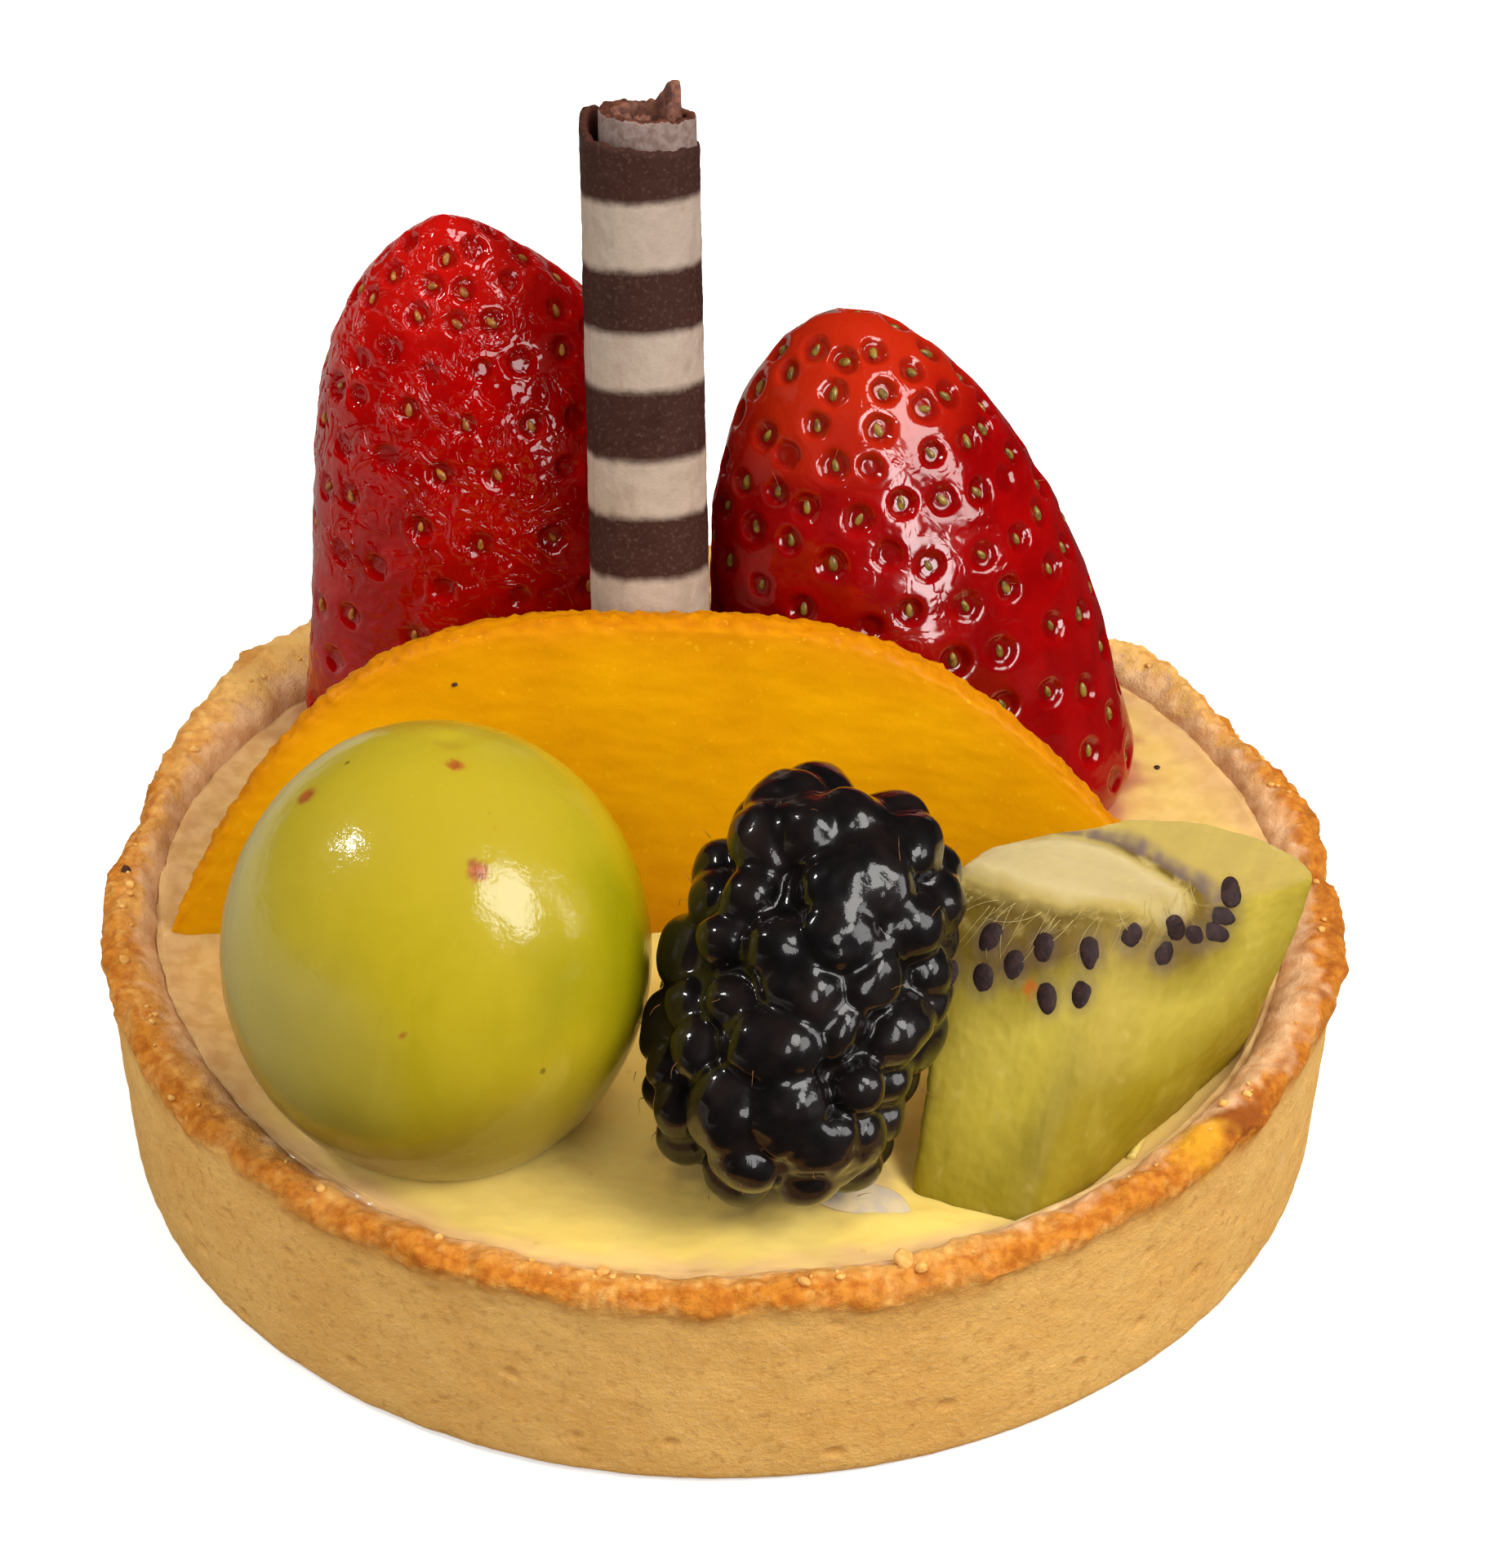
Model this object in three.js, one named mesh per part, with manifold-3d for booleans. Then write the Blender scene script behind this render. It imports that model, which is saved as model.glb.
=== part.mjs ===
// Fruit tart: a shortcrust shell filled with custard, topped with two strawberries, a peach slice,
// a grape, a bramble berry, a chunk of kiwi and a striped chocolate roll.
// Millimetres, +Z up. The origin is on the table, under the middle of the shell.

import * as THREE from 'three';
import { ConvexHull } from 'three/addons/math/ConvexHull.js';
import { ImprovedNoise } from 'three/addons/math/ImprovedNoise.js';
import { mergeVertices } from 'three/addons/utils/BufferGeometryUtils.js';
import Module from 'manifold-3d';

const wasm = await Module();
wasm.setup();

// ---------------------------------------------------------------- driving dimensions

// Shell
const RIM_RADIUS = 41.5;
const BASE_RADIUS = 40.2;
const BASE_CORNER = 1.0;
const RIM_HEIGHT = 17.0;
const RIM_LIP = 0.35;
const WALL = 3.3;
const FLOOR = 3.2;
const CRAG_RADIAL = 0.45;
const CRAG_HEIGHT = 0.4;
const SHELL_SIDES = 86;
// Dents in the rim, and swellings where the depth is negative: where, in degrees anticlockwise
// from +X, how far to each side and how deep
const RIM_DENTS = [
  [4, 4, 0.9], [350, 12, -0.5], [140, 24, -2.0], [118, 4, 0.7], [167, 8, 0.7], [48, 4, 0.5], [28, 12, 1.1],
];

// Custard
const CUSTARD_TOP = 15.5;
const CUSTARD_SWELL = 0.25;
const CUSTARD_SIDES = 40;

// What lies in the custard is pressed into a pocket this much larger than itself
const FIT_GAP = 0.3;
const POCKET_FINENESS = 0.08;

// Strawberries, standing on their cut shoulders
const SEED_PIT = 0.45;
const SEED_RISE = 0.05;
const LEFT_BERRY = {
  foot: [-14.5, 21.4], height: 40.1, width: 27.3, depth: 19.6,
  tipShift: [-4.2, 4.0], bend: 2.6, taper: 4.0, bluntness: 0.8, flare: 0.12,
  seedColumns: 13, seedRows: 9, sunk: 0.5, shoulder: 0.1,
};
const RIGHT_BERRY = {
  foot: [14.9, 15.2], height: 35.2, width: 28.0, depth: 22.6,
  tipShift: [-6.6, 5.6], bend: 1, taper: 2.4, bluntness: 0.58, flare: 0.04,
  seedColumns: 13, seedRows: 8, sunk: 0.5, shoulder: 0.12,
};

// Peach slice, a slim wedge standing on its long straight edge, leaning back. Its crest is swayed to the left
const PEACH = {
  middle: [-2.6, -2.8], span: 69.2, rise: 22.7, lean: 14, sway: 0.115, arch: 3, slope: 0.98,
  edgeThickness: 1.1, skinThickness: 4.4, sunk: 0.9, corner: 0.5,
};

// Grape, whole, standing on its end
const GRAPE = { centre: [-18.3, -20.2], width: 27.9, length: 30.8, sunk: 2.9 };

// Bramble berry, on its end, leaning back and a little to the right
const BRAMBLE = {
  centre: [5.25, -24.1, 27.9], length: 28.7, width: 18.9, leanBack: 33, leanRight: 17,
  drupelets: 68, drupeletRadius: 2.6, fullness: 2.6, unevenness: 0.16, crevice: 0.9,
};

// Kiwi chunk: corners of its base and its top, anticlockwise from the front left, and the line
// along the middle of its core, which the seeds lie round
const KIWI = {
  base: [[11.8, -28.8], [20.3, -32.3], [35.1, -12.6], [18.0, -9.5]],
  top: [[14.6, -15.6, 30.6], [25.9, -18.5, 29.6], [39.5, -11.9, 28.0], [17.4, -11.2, 29.9]],
  crown: [2.4, 3.6, 0.6], belly: 0.9, flank: 1.2, sunk: 1.6, softness: 18, sides: 6,
  coreFrom: [16.0, -13.0, 29.0], coreTo: [28.6, -16.6, 29.2],
  frontSeeds: 7, frontRings: [5.7, 8.0], sideSeeds: 6, sideRings: [5.1, 3.6],
  seedLength: 2.3, seedWidth: 1.6, seedProud: 0.35,
};

// Chocolate roll, stuck in the custard behind the peach and leaning back
const ROLL = {
  through: [-4.9, 12.15, 38.0], radius: 4.0, top: 65.5, bottom: 10.5, leanBack: 19, leanLeft: 1.1,
  sheet: 0.75, bore: 2.5, boreDepth: 9, innerStep: 1.8, innerShift: 0.6, sides: 24,
};

// ---------------------------------------------------------------- helpers

const radians = THREE.MathUtils.degToRad;
const noise = new ImprovedNoise();
const ripple = (x, y, z = 0) => noise.noise(x + 31.7, y + 17.3, z + 5.9);
const vec = (x, y, z) => new THREE.Vector3(x, y, z);
const mix = THREE.MathUtils.lerp;

function circle(count, point, shift = 0) {
  return Array.from({ length: count }, (_, i) => point((2 * Math.PI * (i + shift)) / count, i));
}

// A closed skin over rings of equal count, between two end points. The rings run anticlockwise as
// seen from the far end. In a staggered skin every other ring is turned by half a step.
function loft(start, rings, end, staggered = false) {
  const count = rings[0].length;
  const points = [start, ...rings.flat(), end];
  const at = (ring, i) => 1 + ring * count + (i % count);
  const last = points.length - 1;
  const faces = [];
  for (let i = 0; i < count; i += 1) {
    faces.push([0, at(0, i + 1), at(0, i)]);
    faces.push([last, at(rings.length - 1, i), at(rings.length - 1, i + 1)]);
  }
  for (let ring = 0; ring + 1 < rings.length; ring += 1) {
    const leansForward = staggered && ring % 2 === 1;
    for (let i = 0; i < count; i += 1) {
      const [a, b, c, d] = [at(ring, i), at(ring, i + 1), at(ring + 1, i + 1), at(ring + 1, i)];
      faces.push(...(leansForward ? [[a, b, c], [a, c, d]] : [[a, b, d], [b, c, d]]));
    }
  }
  return skin(points, faces);
}

function skin(points, faces) {
  const places = points.flatMap((p) => [p.x, p.y, p.z]);
  const geometry = new THREE.BufferGeometry();
  geometry.setAttribute('position', new THREE.Float32BufferAttribute(places, 3));
  geometry.setIndex(faces.flat());
  return geometry;
}

// An oval round the z axis. A fullness of 2 is an ellipsoid, and more is a fuller-sided one.
function oval(radius, halfLength, sides, rows, fullness = 2) {
  const rings = [];
  for (let row = 1; row < rows; row += 1) {
    const angle = Math.PI * (row / rows - 0.5);
    const along = Math.sin(angle);
    const reach = radius * ovalReach(along, fullness);
    rings.push(circle(sides, (turn) => (
      vec(reach * Math.cos(turn), reach * Math.sin(turn), halfLength * along))));
  }
  return loft(vec(0, 0, -halfLength), rings, vec(0, 0, halfLength));
}

const ovalReach = (along, fullness) => (1 - Math.abs(along) ** fullness) ** (1 / fullness);

function toSolid(geometry, matrix = new THREE.Matrix4()) {
  const bare = geometry.clone().applyMatrix4(matrix);
  bare.deleteAttribute('normal');
  bare.deleteAttribute('uv');
  const welded = mergeVertices(bare, 1e-4);
  return new wasm.Manifold(new wasm.Mesh({
    numProp: 3,
    vertProperties: new Float32Array(welded.attributes.position.array),
    triVerts: new Uint32Array(welded.index.array),
  }));
}

function fromSolid(solid) {
  const { vertProperties, triVerts } = solid.getMesh();
  const geometry = new THREE.BufferGeometry();
  geometry.setAttribute('position', new THREE.BufferAttribute(vertProperties, 3));
  geometry.setIndex(new THREE.BufferAttribute(triVerts, 1));
  return geometry;
}

const tart = new THREE.Group();

function addMesh(name, geometry, { color, roughness }, place = () => {}) {
  geometry.computeVertexNormals();
  const material = new THREE.MeshStandardMaterial({ color, roughness, metalness: 0 });
  const mesh = new THREE.Mesh(geometry, material);
  mesh.name = name;
  place(mesh);
  mesh.updateMatrix();
  tart.add(mesh);
  return mesh;
}

// ---------------------------------------------------------------- shell

// The radius of the shell's inner wall at a height, before its unevenness
function innerRadius(height) {
  const outer = mix(BASE_RADIUS, RIM_RADIUS, height / RIM_HEIGHT);
  return outer - WALL;
}

// Slow unevenness that the crust's inner edge and the custard share
const innerWander = (turn) => 0.7 * ripple(1.3 * Math.cos(turn), 1.3 * Math.sin(turn), 4);

function dentDepth(turn) {
  return RIM_DENTS.reduce((depth, [middle, width, deepest]) => {
    const away = Math.abs(((THREE.MathUtils.radToDeg(turn) - middle + 540) % 360) - 180) / width;
    return depth + deepest * Math.max(0, 1 - away);
  }, 0);
}

function shellGeometry() {
  const wallAt = (height) => mix(BASE_RADIUS, RIM_RADIUS, height / RIM_HEIGHT);
  // Each row: radius, height, how far it follows the crags, how far it follows the inner wander
  const rows = [
    [BASE_RADIUS * 0.5, 0, 0, 0],
    [BASE_RADIUS - BASE_CORNER, 0, 0, 0],
    [BASE_RADIUS - BASE_CORNER * 0.25, BASE_CORNER * 0.3, 0, 0],
    [wallAt(BASE_CORNER), BASE_CORNER, 0, 0],
    [wallAt(RIM_HEIGHT * 0.5), RIM_HEIGHT * 0.5, 0.1, 0],
    [wallAt(RIM_HEIGHT * 0.86), RIM_HEIGHT * 0.86, 0.3, 0],
    [RIM_RADIUS + RIM_LIP, RIM_HEIGHT - 0.9, 1, 0],
    [RIM_RADIUS - 0.5, RIM_HEIGHT - 0.1, 1, 0.2],
    [RIM_RADIUS - WALL * 0.5, RIM_HEIGHT + 0.1, 0.8, 0.5],
    [RIM_RADIUS - WALL + 0.2, RIM_HEIGHT - 0.5, 0.7, 1],
    [innerRadius(CUSTARD_TOP), CUSTARD_TOP - 0.6, 0, 1],
    [innerRadius(FLOOR + 1.2), FLOOR + 1.2, 0, 0],
    [innerRadius(FLOOR) - 1.2, FLOOR, 0, 0],
    [BASE_RADIUS * 0.45, FLOOR, 0, 0],
  ];
  const rings = rows.map(([radius, height, crag, wander], row) => circle(SHELL_SIDES, (turn) => {
    const [x, y] = [Math.cos(turn), Math.sin(turn)];
    const bumps = ripple(9 * x, 9 * y, row) + 0.6 * ripple(19 * x, 19 * y, row);
    const lumps = ripple(8 * x, 8 * y, 40 + row * 0.5) + 0.5 * ripple(21 * x, 21 * y, row);
    const dent = crag * dentDepth(turn);
    const reach = radius + CRAG_RADIAL * crag * bumps + wander * innerWander(turn) - (1 - wander) * dent;
    return vec(reach * x, reach * y, height + CRAG_HEIGHT * crag * lumps - 0.5 * dent);
  }));
  return loft(vec(0, 0, 0), rings, vec(0, 0, FLOOR));
}

// ---------------------------------------------------------------- custard

function custardGeometry() {
  const rim = (turn, height) => innerRadius(height) - FIT_GAP + Math.min(0, innerWander(turn));
  const edge = (share, height) => circle(CUSTARD_SIDES, (turn) => {
    const reach = share * (rim(turn, Math.min(height, CUSTARD_TOP)) - 0.1);
    const [x, y] = [reach * Math.cos(turn), reach * Math.sin(turn)];
    const swell = height >= CUSTARD_TOP ? CUSTARD_SWELL * ripple(x / 9, y / 9, 2) : 0;
    return vec(x, y, height + swell);
  });
  const bottom = FLOOR + FIT_GAP;
  const rings = [
    edge(0.94, bottom),
    edge(0.985, bottom + 1.4),
    edge(1, CUSTARD_TOP - 0.7),
    edge(0.985, CUSTARD_TOP),
    edge(0.8, CUSTARD_TOP),
    edge(0.5, CUSTARD_TOP),
    edge(0.25, CUSTARD_TOP),
  ];
  return loft(vec(0, 0, bottom), rings, vec(0, 0, CUSTARD_TOP));
}

// ---------------------------------------------------------------- strawberries

// A point of the berry's skin. share runs from the cut shoulder, 0, to the tip, 1.
function berrySkin(berry, share, turn, offset) {
  const shrink = share < berry.shoulder ? 0.18 * (1 - share / berry.shoulder) ** 2 : 0;
  const flare = berry.flare * Math.max(0, 1 - share / 0.3) ** 2;
  const reach = (1 - share ** berry.taper) ** berry.bluntness * (1 - shrink) * (1 + flare);
  const drift = share ** berry.bend;
  const lumps = 1 + 0.035 * ripple(1.2 * Math.cos(turn), 1.2 * Math.sin(turn), 2.5 * share + berry.height);
  return vec(
    berry.tipShift[0] * drift + (berry.width / 2 * reach * lumps + offset) * Math.cos(turn),
    berry.tipShift[1] * share + (berry.depth / 2 * reach * lumps + offset) * Math.sin(turn),
    berry.height * share,
  );
}

// Every third point of every third ring is a seed, and the six points round it are its pit
function seedRelief(ring, i) {
  const seedRing = Math.round(ring / 3);
  const step = ring - 3 * seedRing;
  const first = seedRing % 2;
  const along = i + 0.5 * (ring % 2) - first * 1.5;
  const toSeed = Math.abs(along - 3 * Math.round(along / 3));
  if (step === 0 && toSeed === 0) return SEED_RISE;
  const besideSeed = (step === 0 && toSeed === 1) || (Math.abs(step) === 1 && toSeed === 0.5);
  return besideSeed ? -SEED_PIT : 0;
}

function strawberryGeometry(berry) {
  const rows = 3 * berry.seedRows;
  const rings = [];
  for (let row = 0; row < rows; row += 1) {
    // The rings crowd towards the tip, as the seeds do
    const share = 0.985 * Math.sin((Math.PI / 2) * (row / (rows - 0.4)) ** 1.06);
    const bare = row < 2 || row > rows - 2;
    rings.push(circle(3 * berry.seedColumns, (turn, i) => (
      berrySkin(berry, share, turn, bare ? 0 : seedRelief(row, i))), 0.5 * (row % 2)));
  }
  return loft(vec(0, 0, 0), rings, vec(berry.tipShift[0], berry.tipShift[1], berry.height), true);
}

// The foot of a berry without its seeds, larger all round
function berryPocket(berry, grow) {
  const ring = (share, height) => circle(28, (turn) => berrySkin(berry, share, turn, 2 * grow).setZ(height));
  const top = berry.height * berry.shoulder;
  return loft(vec(0, 0, -grow), [ring(0, -grow), ring(berry.shoulder, top)], vec(0, 0, top));
}

const placeBerry = (berry) => (mesh) => mesh.position.set(...berry.foot, CUSTARD_TOP - berry.sunk);

// ---------------------------------------------------------------- peach slice

// Built upright: x along its straight edge, z up its face, y through its thickness
function peachGeometry(grow = 0) {
  const half = PEACH.span / 2;
  const steps = 30;
  const section = (x) => {
    const share = Math.min(1, Math.abs(x) / half);
    const height = PEACH.rise * (1 - share ** PEACH.arch) ** PEACH.slope + grow;
    const base = -PEACH.sunk - grow;
    const tipShare = Math.min(1, (1 - share) * 12 + 0.15);
    const thin = PEACH.edgeThickness * tipShare;
    const thick = mix(thin, PEACH.skinThickness, height / PEACH.rise);
    const corner = Math.min(PEACH.corner, thick / 3, (height - base) / 3);
    const swayed = [
      vec(x, -grow, base),
      vec(x, thin + grow, base),
      vec(x, mix(thin, thick, 0.5) + grow, mix(base, height, 0.5)),
      vec(x, thick + grow, height - 1.6 * corner),
      vec(x, thick - corner + grow, height - 0.4 * corner),
      vec(x, thick / 2, height),
      vec(x, corner - grow, height),
      vec(x, -grow, height - corner),
      vec(x, -grow, mix(base, height, 0.5)),
    ];
    swayed.forEach((point) => point.setX(x - PEACH.sway * Math.max(0, point.z)));
    return swayed;
  };
  const rings = [];
  for (let i = 1; i < steps; i += 1) rings.push(section(-half * Math.cos((Math.PI * i) / steps)));
  return loft(
    vec(-half - grow, 0.1, -PEACH.sunk * 0.5), rings, vec(half + grow, 0.1, -PEACH.sunk * 0.5));
}

function placePeach(mesh) {
  mesh.position.set(...PEACH.middle, CUSTARD_TOP);
  mesh.rotation.x = -radians(PEACH.lean);
}

// ---------------------------------------------------------------- grape

function grapeGeometry(grow = 0) {
  return oval(GRAPE.width / 2 + grow, GRAPE.length / 2 + grow, 22, 13);
}

function placeGrape(mesh) {
  mesh.position.set(...GRAPE.centre, CUSTARD_TOP + GRAPE.length / 2 - GRAPE.sunk);
}

// ---------------------------------------------------------------- bramble berry

// The middle of each drupelet, evenly shared over a full-sided oval by the golden angle
function drupeletPlaces() {
  const goldenTurn = Math.PI * (3 - Math.sqrt(5));
  const halfLength = BRAMBLE.length / 2 - BRAMBLE.drupeletRadius;
  const radius = BRAMBLE.width / 2 - BRAMBLE.drupeletRadius;
  return Array.from({ length: BRAMBLE.drupelets }, (_, i) => {
    const along = 1 - (2 * (i + 0.5)) / BRAMBLE.drupelets;
    const reach = radius * ovalReach(along, BRAMBLE.fullness);
    const turn = i * goldenTurn;
    const size = 1 + BRAMBLE.unevenness * ripple(3.1 * i, 1.7 * i);
    const middle = vec(reach * Math.cos(turn), reach * Math.sin(turn), halfLength * along);
    const outward = vec(middle.x, middle.y, middle.z * (radius / halfLength)).normalize();
    return { middle, outward, radius: BRAMBLE.drupeletRadius * size };
  });
}

// The triangle faces of the hull of some points, each as three indices, anticlockwise from outside
function hullTriangles(points) {
  const indexOf = new Map(points.map((point, i) => [point, i]));
  return new ConvexHull().setFromPoints(points).faces.map((face) => {
    const edges = [face.edge, face.edge.next, face.edge.next.next];
    return edges.map((edge) => indexOf.get(edge.head().point));
  });
}

// Each drupelet is a dome over its own cell of the oval. Three cells meet in a crevice.
function brambleGeometry() {
  const places = drupeletPlaces();
  const points = places.map(({ middle, outward, radius }) => middle.clone().addScaledVector(outward, radius));
  const cells = places.map(() => new Map());
  for (const [a, b, c] of hullTriangles(places.map(({ middle }) => middle))) {
    const crevice = vec(0, 0, 0);
    for (const { middle, outward } of [places[a], places[b], places[c]]) {
      crevice.addScaledVector(middle, 1 / 3).addScaledVector(outward, BRAMBLE.crevice / 3);
    }
    const corner = points.push(crevice) - 1;
    cells[a].set(b, { corner, next: c });
    cells[b].set(c, { corner, next: a });
    cells[c].set(a, { corner, next: b });
  }
  const faces = [];
  cells.forEach((cell, site) => {
    const { middle, outward, radius } = places[site];
    const corners = [];
    let [neighbour] = cell.keys();
    for (let k = 0; k < cell.size; k += 1) {
      const { corner, next } = cell.get(neighbour);
      corners.push(corner);
      neighbour = next;
    }
    const domeRing = (share, rise) => corners.map((corner) => {
      const sideways = points[corner].clone().sub(middle);
      sideways.addScaledVector(outward, -sideways.dot(outward));
      const point = middle.clone().addScaledVector(sideways, share).addScaledVector(outward, radius * rise);
      return points.push(point) - 1;
    });
    const upper = domeRing(0.45, 0.87);
    const lower = domeRing(0.82, 0.52);
    corners.forEach((_, k) => {
      const n = (k + 1) % corners.length;
      faces.push([site, upper[k], upper[n]], [upper[k], lower[k], lower[n]], [upper[k], lower[n], upper[n]]);
      faces.push([lower[k], corners[k], corners[n]], [lower[k], corners[n], lower[n]]);
    });
  });
  return skin(points, faces);
}

const bramblePocket = (grow) => oval(
  BRAMBLE.width / 2 + grow, BRAMBLE.length / 2 + grow, 24, 14, BRAMBLE.fullness);

function placeBramble(mesh) {
  mesh.position.set(...BRAMBLE.centre);
  mesh.rotation.set(-radians(BRAMBLE.leanBack), radians(BRAMBLE.leanRight), 0);
}

// ---------------------------------------------------------------- kiwi chunk

const kiwiCorners = (grow) => {
  const base = KIWI.base.map(([x, y]) => vec(x, y, CUSTARD_TOP - KIWI.sunk - grow));
  const top = KIWI.top.map(([x, y, z]) => vec(x, y, z + grow));
  const corners = [...base, ...top];
  const middle = corners.reduce((sum, p) => sum.add(p), vec(0, 0, 0)).divideScalar(corners.length);
  return corners.map((p) => {
    const away = vec(p.x - middle.x, p.y - middle.y, 0).normalize();
    return p.clone().addScaledVector(away, 1.5 * grow);
  });
};

// Maps a point of a box from -1 to 1 into the chunk: x along its front, y to the back, z up.
// Its back is rounded, as the outside of the fruit, and its front and right-hand side bulge.
function inKiwi(box, corners) {
  const [u, v, w] = [(box.x + 1) / 2, (box.y + 1) / 2, (box.z + 1) / 2];
  const post = (k) => corners[k].clone().lerp(corners[k + 4], w);
  const point = post(0).lerp(post(1), u).lerp(post(3).lerp(post(2), u), v);
  const crown = v * 4 * u * (1 - u) * w;
  const belly = KIWI.belly * 4 * w * (1 - w) * (1 - v);
  const flank = KIWI.flank * 4 * w * (1 - w) * u * Math.sin(Math.PI * v);
  point.add(vec(...KIWI.crown).multiplyScalar(crown));
  return point.add(vec(0.2, -0.98, 0).multiplyScalar(belly)).add(vec(0.9, -0.44, 0).multiplyScalar(flank));
}

// A box with softened edges
function kiwiBody(grow = 0) {
  const corners = kiwiCorners(grow);
  const box = new THREE.BoxGeometry(2, 2, 2, KIWI.sides, KIWI.sides, KIWI.sides);
  box.deleteAttribute('normal');
  box.deleteAttribute('uv');
  const geometry = mergeVertices(box, 1e-4);
  const position = geometry.attributes.position;
  const towardsEdge = (x) => Math.sin((Math.PI / 2) * x);
  const n = KIWI.softness;
  for (let i = 0; i < position.count; i += 1) {
    const p = vec(...[position.getX(i), position.getY(i), position.getZ(i)].map(towardsEdge));
    p.divideScalar((Math.abs(p.x) ** n + Math.abs(p.y) ** n + Math.abs(p.z) ** n) ** (1 / n));
    position.setXYZ(i, ...inKiwi(p, corners).toArray());
  }
  return geometry;
}

// Where a face of the chunk is a given distance from the middle of the core. along goes across the
// front face and on round its right-hand edge, from 0 to 2.
function kiwiSeedPlace(along, distance) {
  const corners = kiwiCorners(0);
  const core = new THREE.Line3(vec(...KIWI.coreFrom), vec(...KIWI.coreTo));
  const place = (down) => inKiwi(
    along < 1 ? vec(2 * along - 1, -1, 1 - 2 * down) : vec(1, 2 * (along - 1) - 1, 1 - 2 * down), corners);
  const reach = (down) => {
    const point = place(down);
    return point.distanceTo(core.closestPointToPoint(point, true, vec(0, 0, 0)));
  };
  let [near, far] = [0, 1];
  for (let i = 0; i < 30; i += 1) {
    const half = (near + far) / 2;
    if (reach(half) < distance) near = half;
    else far = half;
  }
  const middle = place(far);
  const downward = place(far + 0.05).sub(middle).normalize();
  const aside = along < 1 ? vec(1, -0.3, 0) : vec(0.75, 1, 0);
  return { middle, downward, outward: downward.clone().cross(aside).normalize() };
}

function kiwiSeeds() {
  const seeds = [];
  for (let i = 0; i < KIWI.frontSeeds + KIWI.sideSeeds; i += 1) {
    const inFront = i < KIWI.frontSeeds;
    const share = inFront ? (i + 1) / KIWI.frontSeeds : (i - KIWI.frontSeeds + 0.6) / KIWI.sideSeeds;
    const along = (inFront ? share : 1 + 0.52 * share) + 0.02 * ripple(2.7 * i, 0.4);
    const rings = inFront ? KIWI.frontRings : KIWI.sideRings;
    const distance = rings[i % 2] + 0.5 * ripple(1.9 * i, 8);
    const { middle, downward, outward } = kiwiSeedPlace(along, distance);
    const sideways = outward.clone().cross(downward).normalize();
    const turned = new THREE.Matrix4().makeBasis(sideways, outward.clone(), downward.clone());
    turned.setPosition(middle.addScaledVector(outward, KIWI.seedProud - KIWI.seedWidth / 2));
    seeds.push(toSolid(oval(KIWI.seedWidth / 2, KIWI.seedLength / 2, 6, 4), turned));
  }
  return seeds;
}

function kiwiGeometry() {
  return fromSolid(kiwiSeeds().reduce((solid, seed) => solid.add(seed), toSolid(kiwiBody())));
}

// ---------------------------------------------------------------- chocolate roll

// Built upright from its lower end. The outer sheet stops short of the inner one.
function rollGeometry(grow = 0) {
  const length = (ROLL.top - ROLL.bottom) / Math.cos(radians(ROLL.leanBack));
  const outerTop = (turn) => length - ROLL.innerStep + 0.55 * Math.cos(turn - Math.PI)
    + 0.25 * ripple(3 * Math.cos(turn), 3 * Math.sin(turn), 1);
  const innerTop = (turn) => length + 0.3 * ripple(4 * Math.cos(turn), 4 * Math.sin(turn), 7)
    - 0.3 * Math.cos(turn);
  const innerWall = ROLL.radius - ROLL.sheet;
  const ring = (radius, height, shift = 0) => circle(ROLL.sides, (turn) => (
    vec((radius + grow) * Math.cos(turn) + shift, (radius + grow) * Math.sin(turn), height(turn))));
  if (grow > 0) {
    return loft(vec(0, 0, -grow), [
      ring(ROLL.radius, () => -grow), ring(ROLL.radius, () => length)], vec(0, 0, length));
  }
  const rings = [
    ring(ROLL.radius, () => 0),
    ring(ROLL.radius, (turn) => outerTop(turn) - 0.15),
    ring(ROLL.radius - 0.15, outerTop),
    ring(innerWall + 0.08, outerTop, ROLL.innerShift),
    ring(innerWall, (turn) => innerTop(turn) - 0.1, ROLL.innerShift),
    ring(innerWall - 0.1, innerTop, ROLL.innerShift),
    ring(ROLL.bore + 0.1, innerTop, ROLL.innerShift),
    ring(ROLL.bore, (turn) => innerTop(turn) - 0.1, ROLL.innerShift),
    ring(ROLL.bore, () => length - ROLL.boreDepth, ROLL.innerShift),
  ];
  return loft(vec(0, 0, 0), rings, vec(0, 0, length - ROLL.boreDepth));
}

// The sheet's inner end, curling through the bore and rising to a small tongue
function curlGeometry() {
  const length = (ROLL.top - ROLL.bottom) / Math.cos(radians(ROLL.leanBack));
  const steps = 22;
  const rings = [];
  for (let i = 0; i <= steps; i += 1) {
    const share = i / steps;
    const turn = radians(-40 + 380 * share);
    const reach = mix(ROLL.bore + 0.25, 0.75, share);
    const half = ROLL.sheet * mix(0.5, 0.38, share);
    const tongue = 1.75 * Math.exp(-(((share - 0.14) / 0.08) ** 2));
    const high = length + 0.55 - 0.7 * share + tongue + 0.2 * ripple(6 * share, 3);
    const low = length - ROLL.boreDepth - 0.3;
    const [near, far] = [reach - half, reach + half];
    const at = (radius, z) => vec(radius * Math.cos(turn), radius * Math.sin(turn), z);
    rings.push([at(near, low), at(near, high), at(far, high), at(far, low)]);
  }
  const middle = (ring) => ring.reduce((sum, p) => sum.add(p), vec(0, 0, 0)).divideScalar(ring.length);
  return loft(middle(rings[0]), rings, middle(rings[steps]));
}

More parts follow.
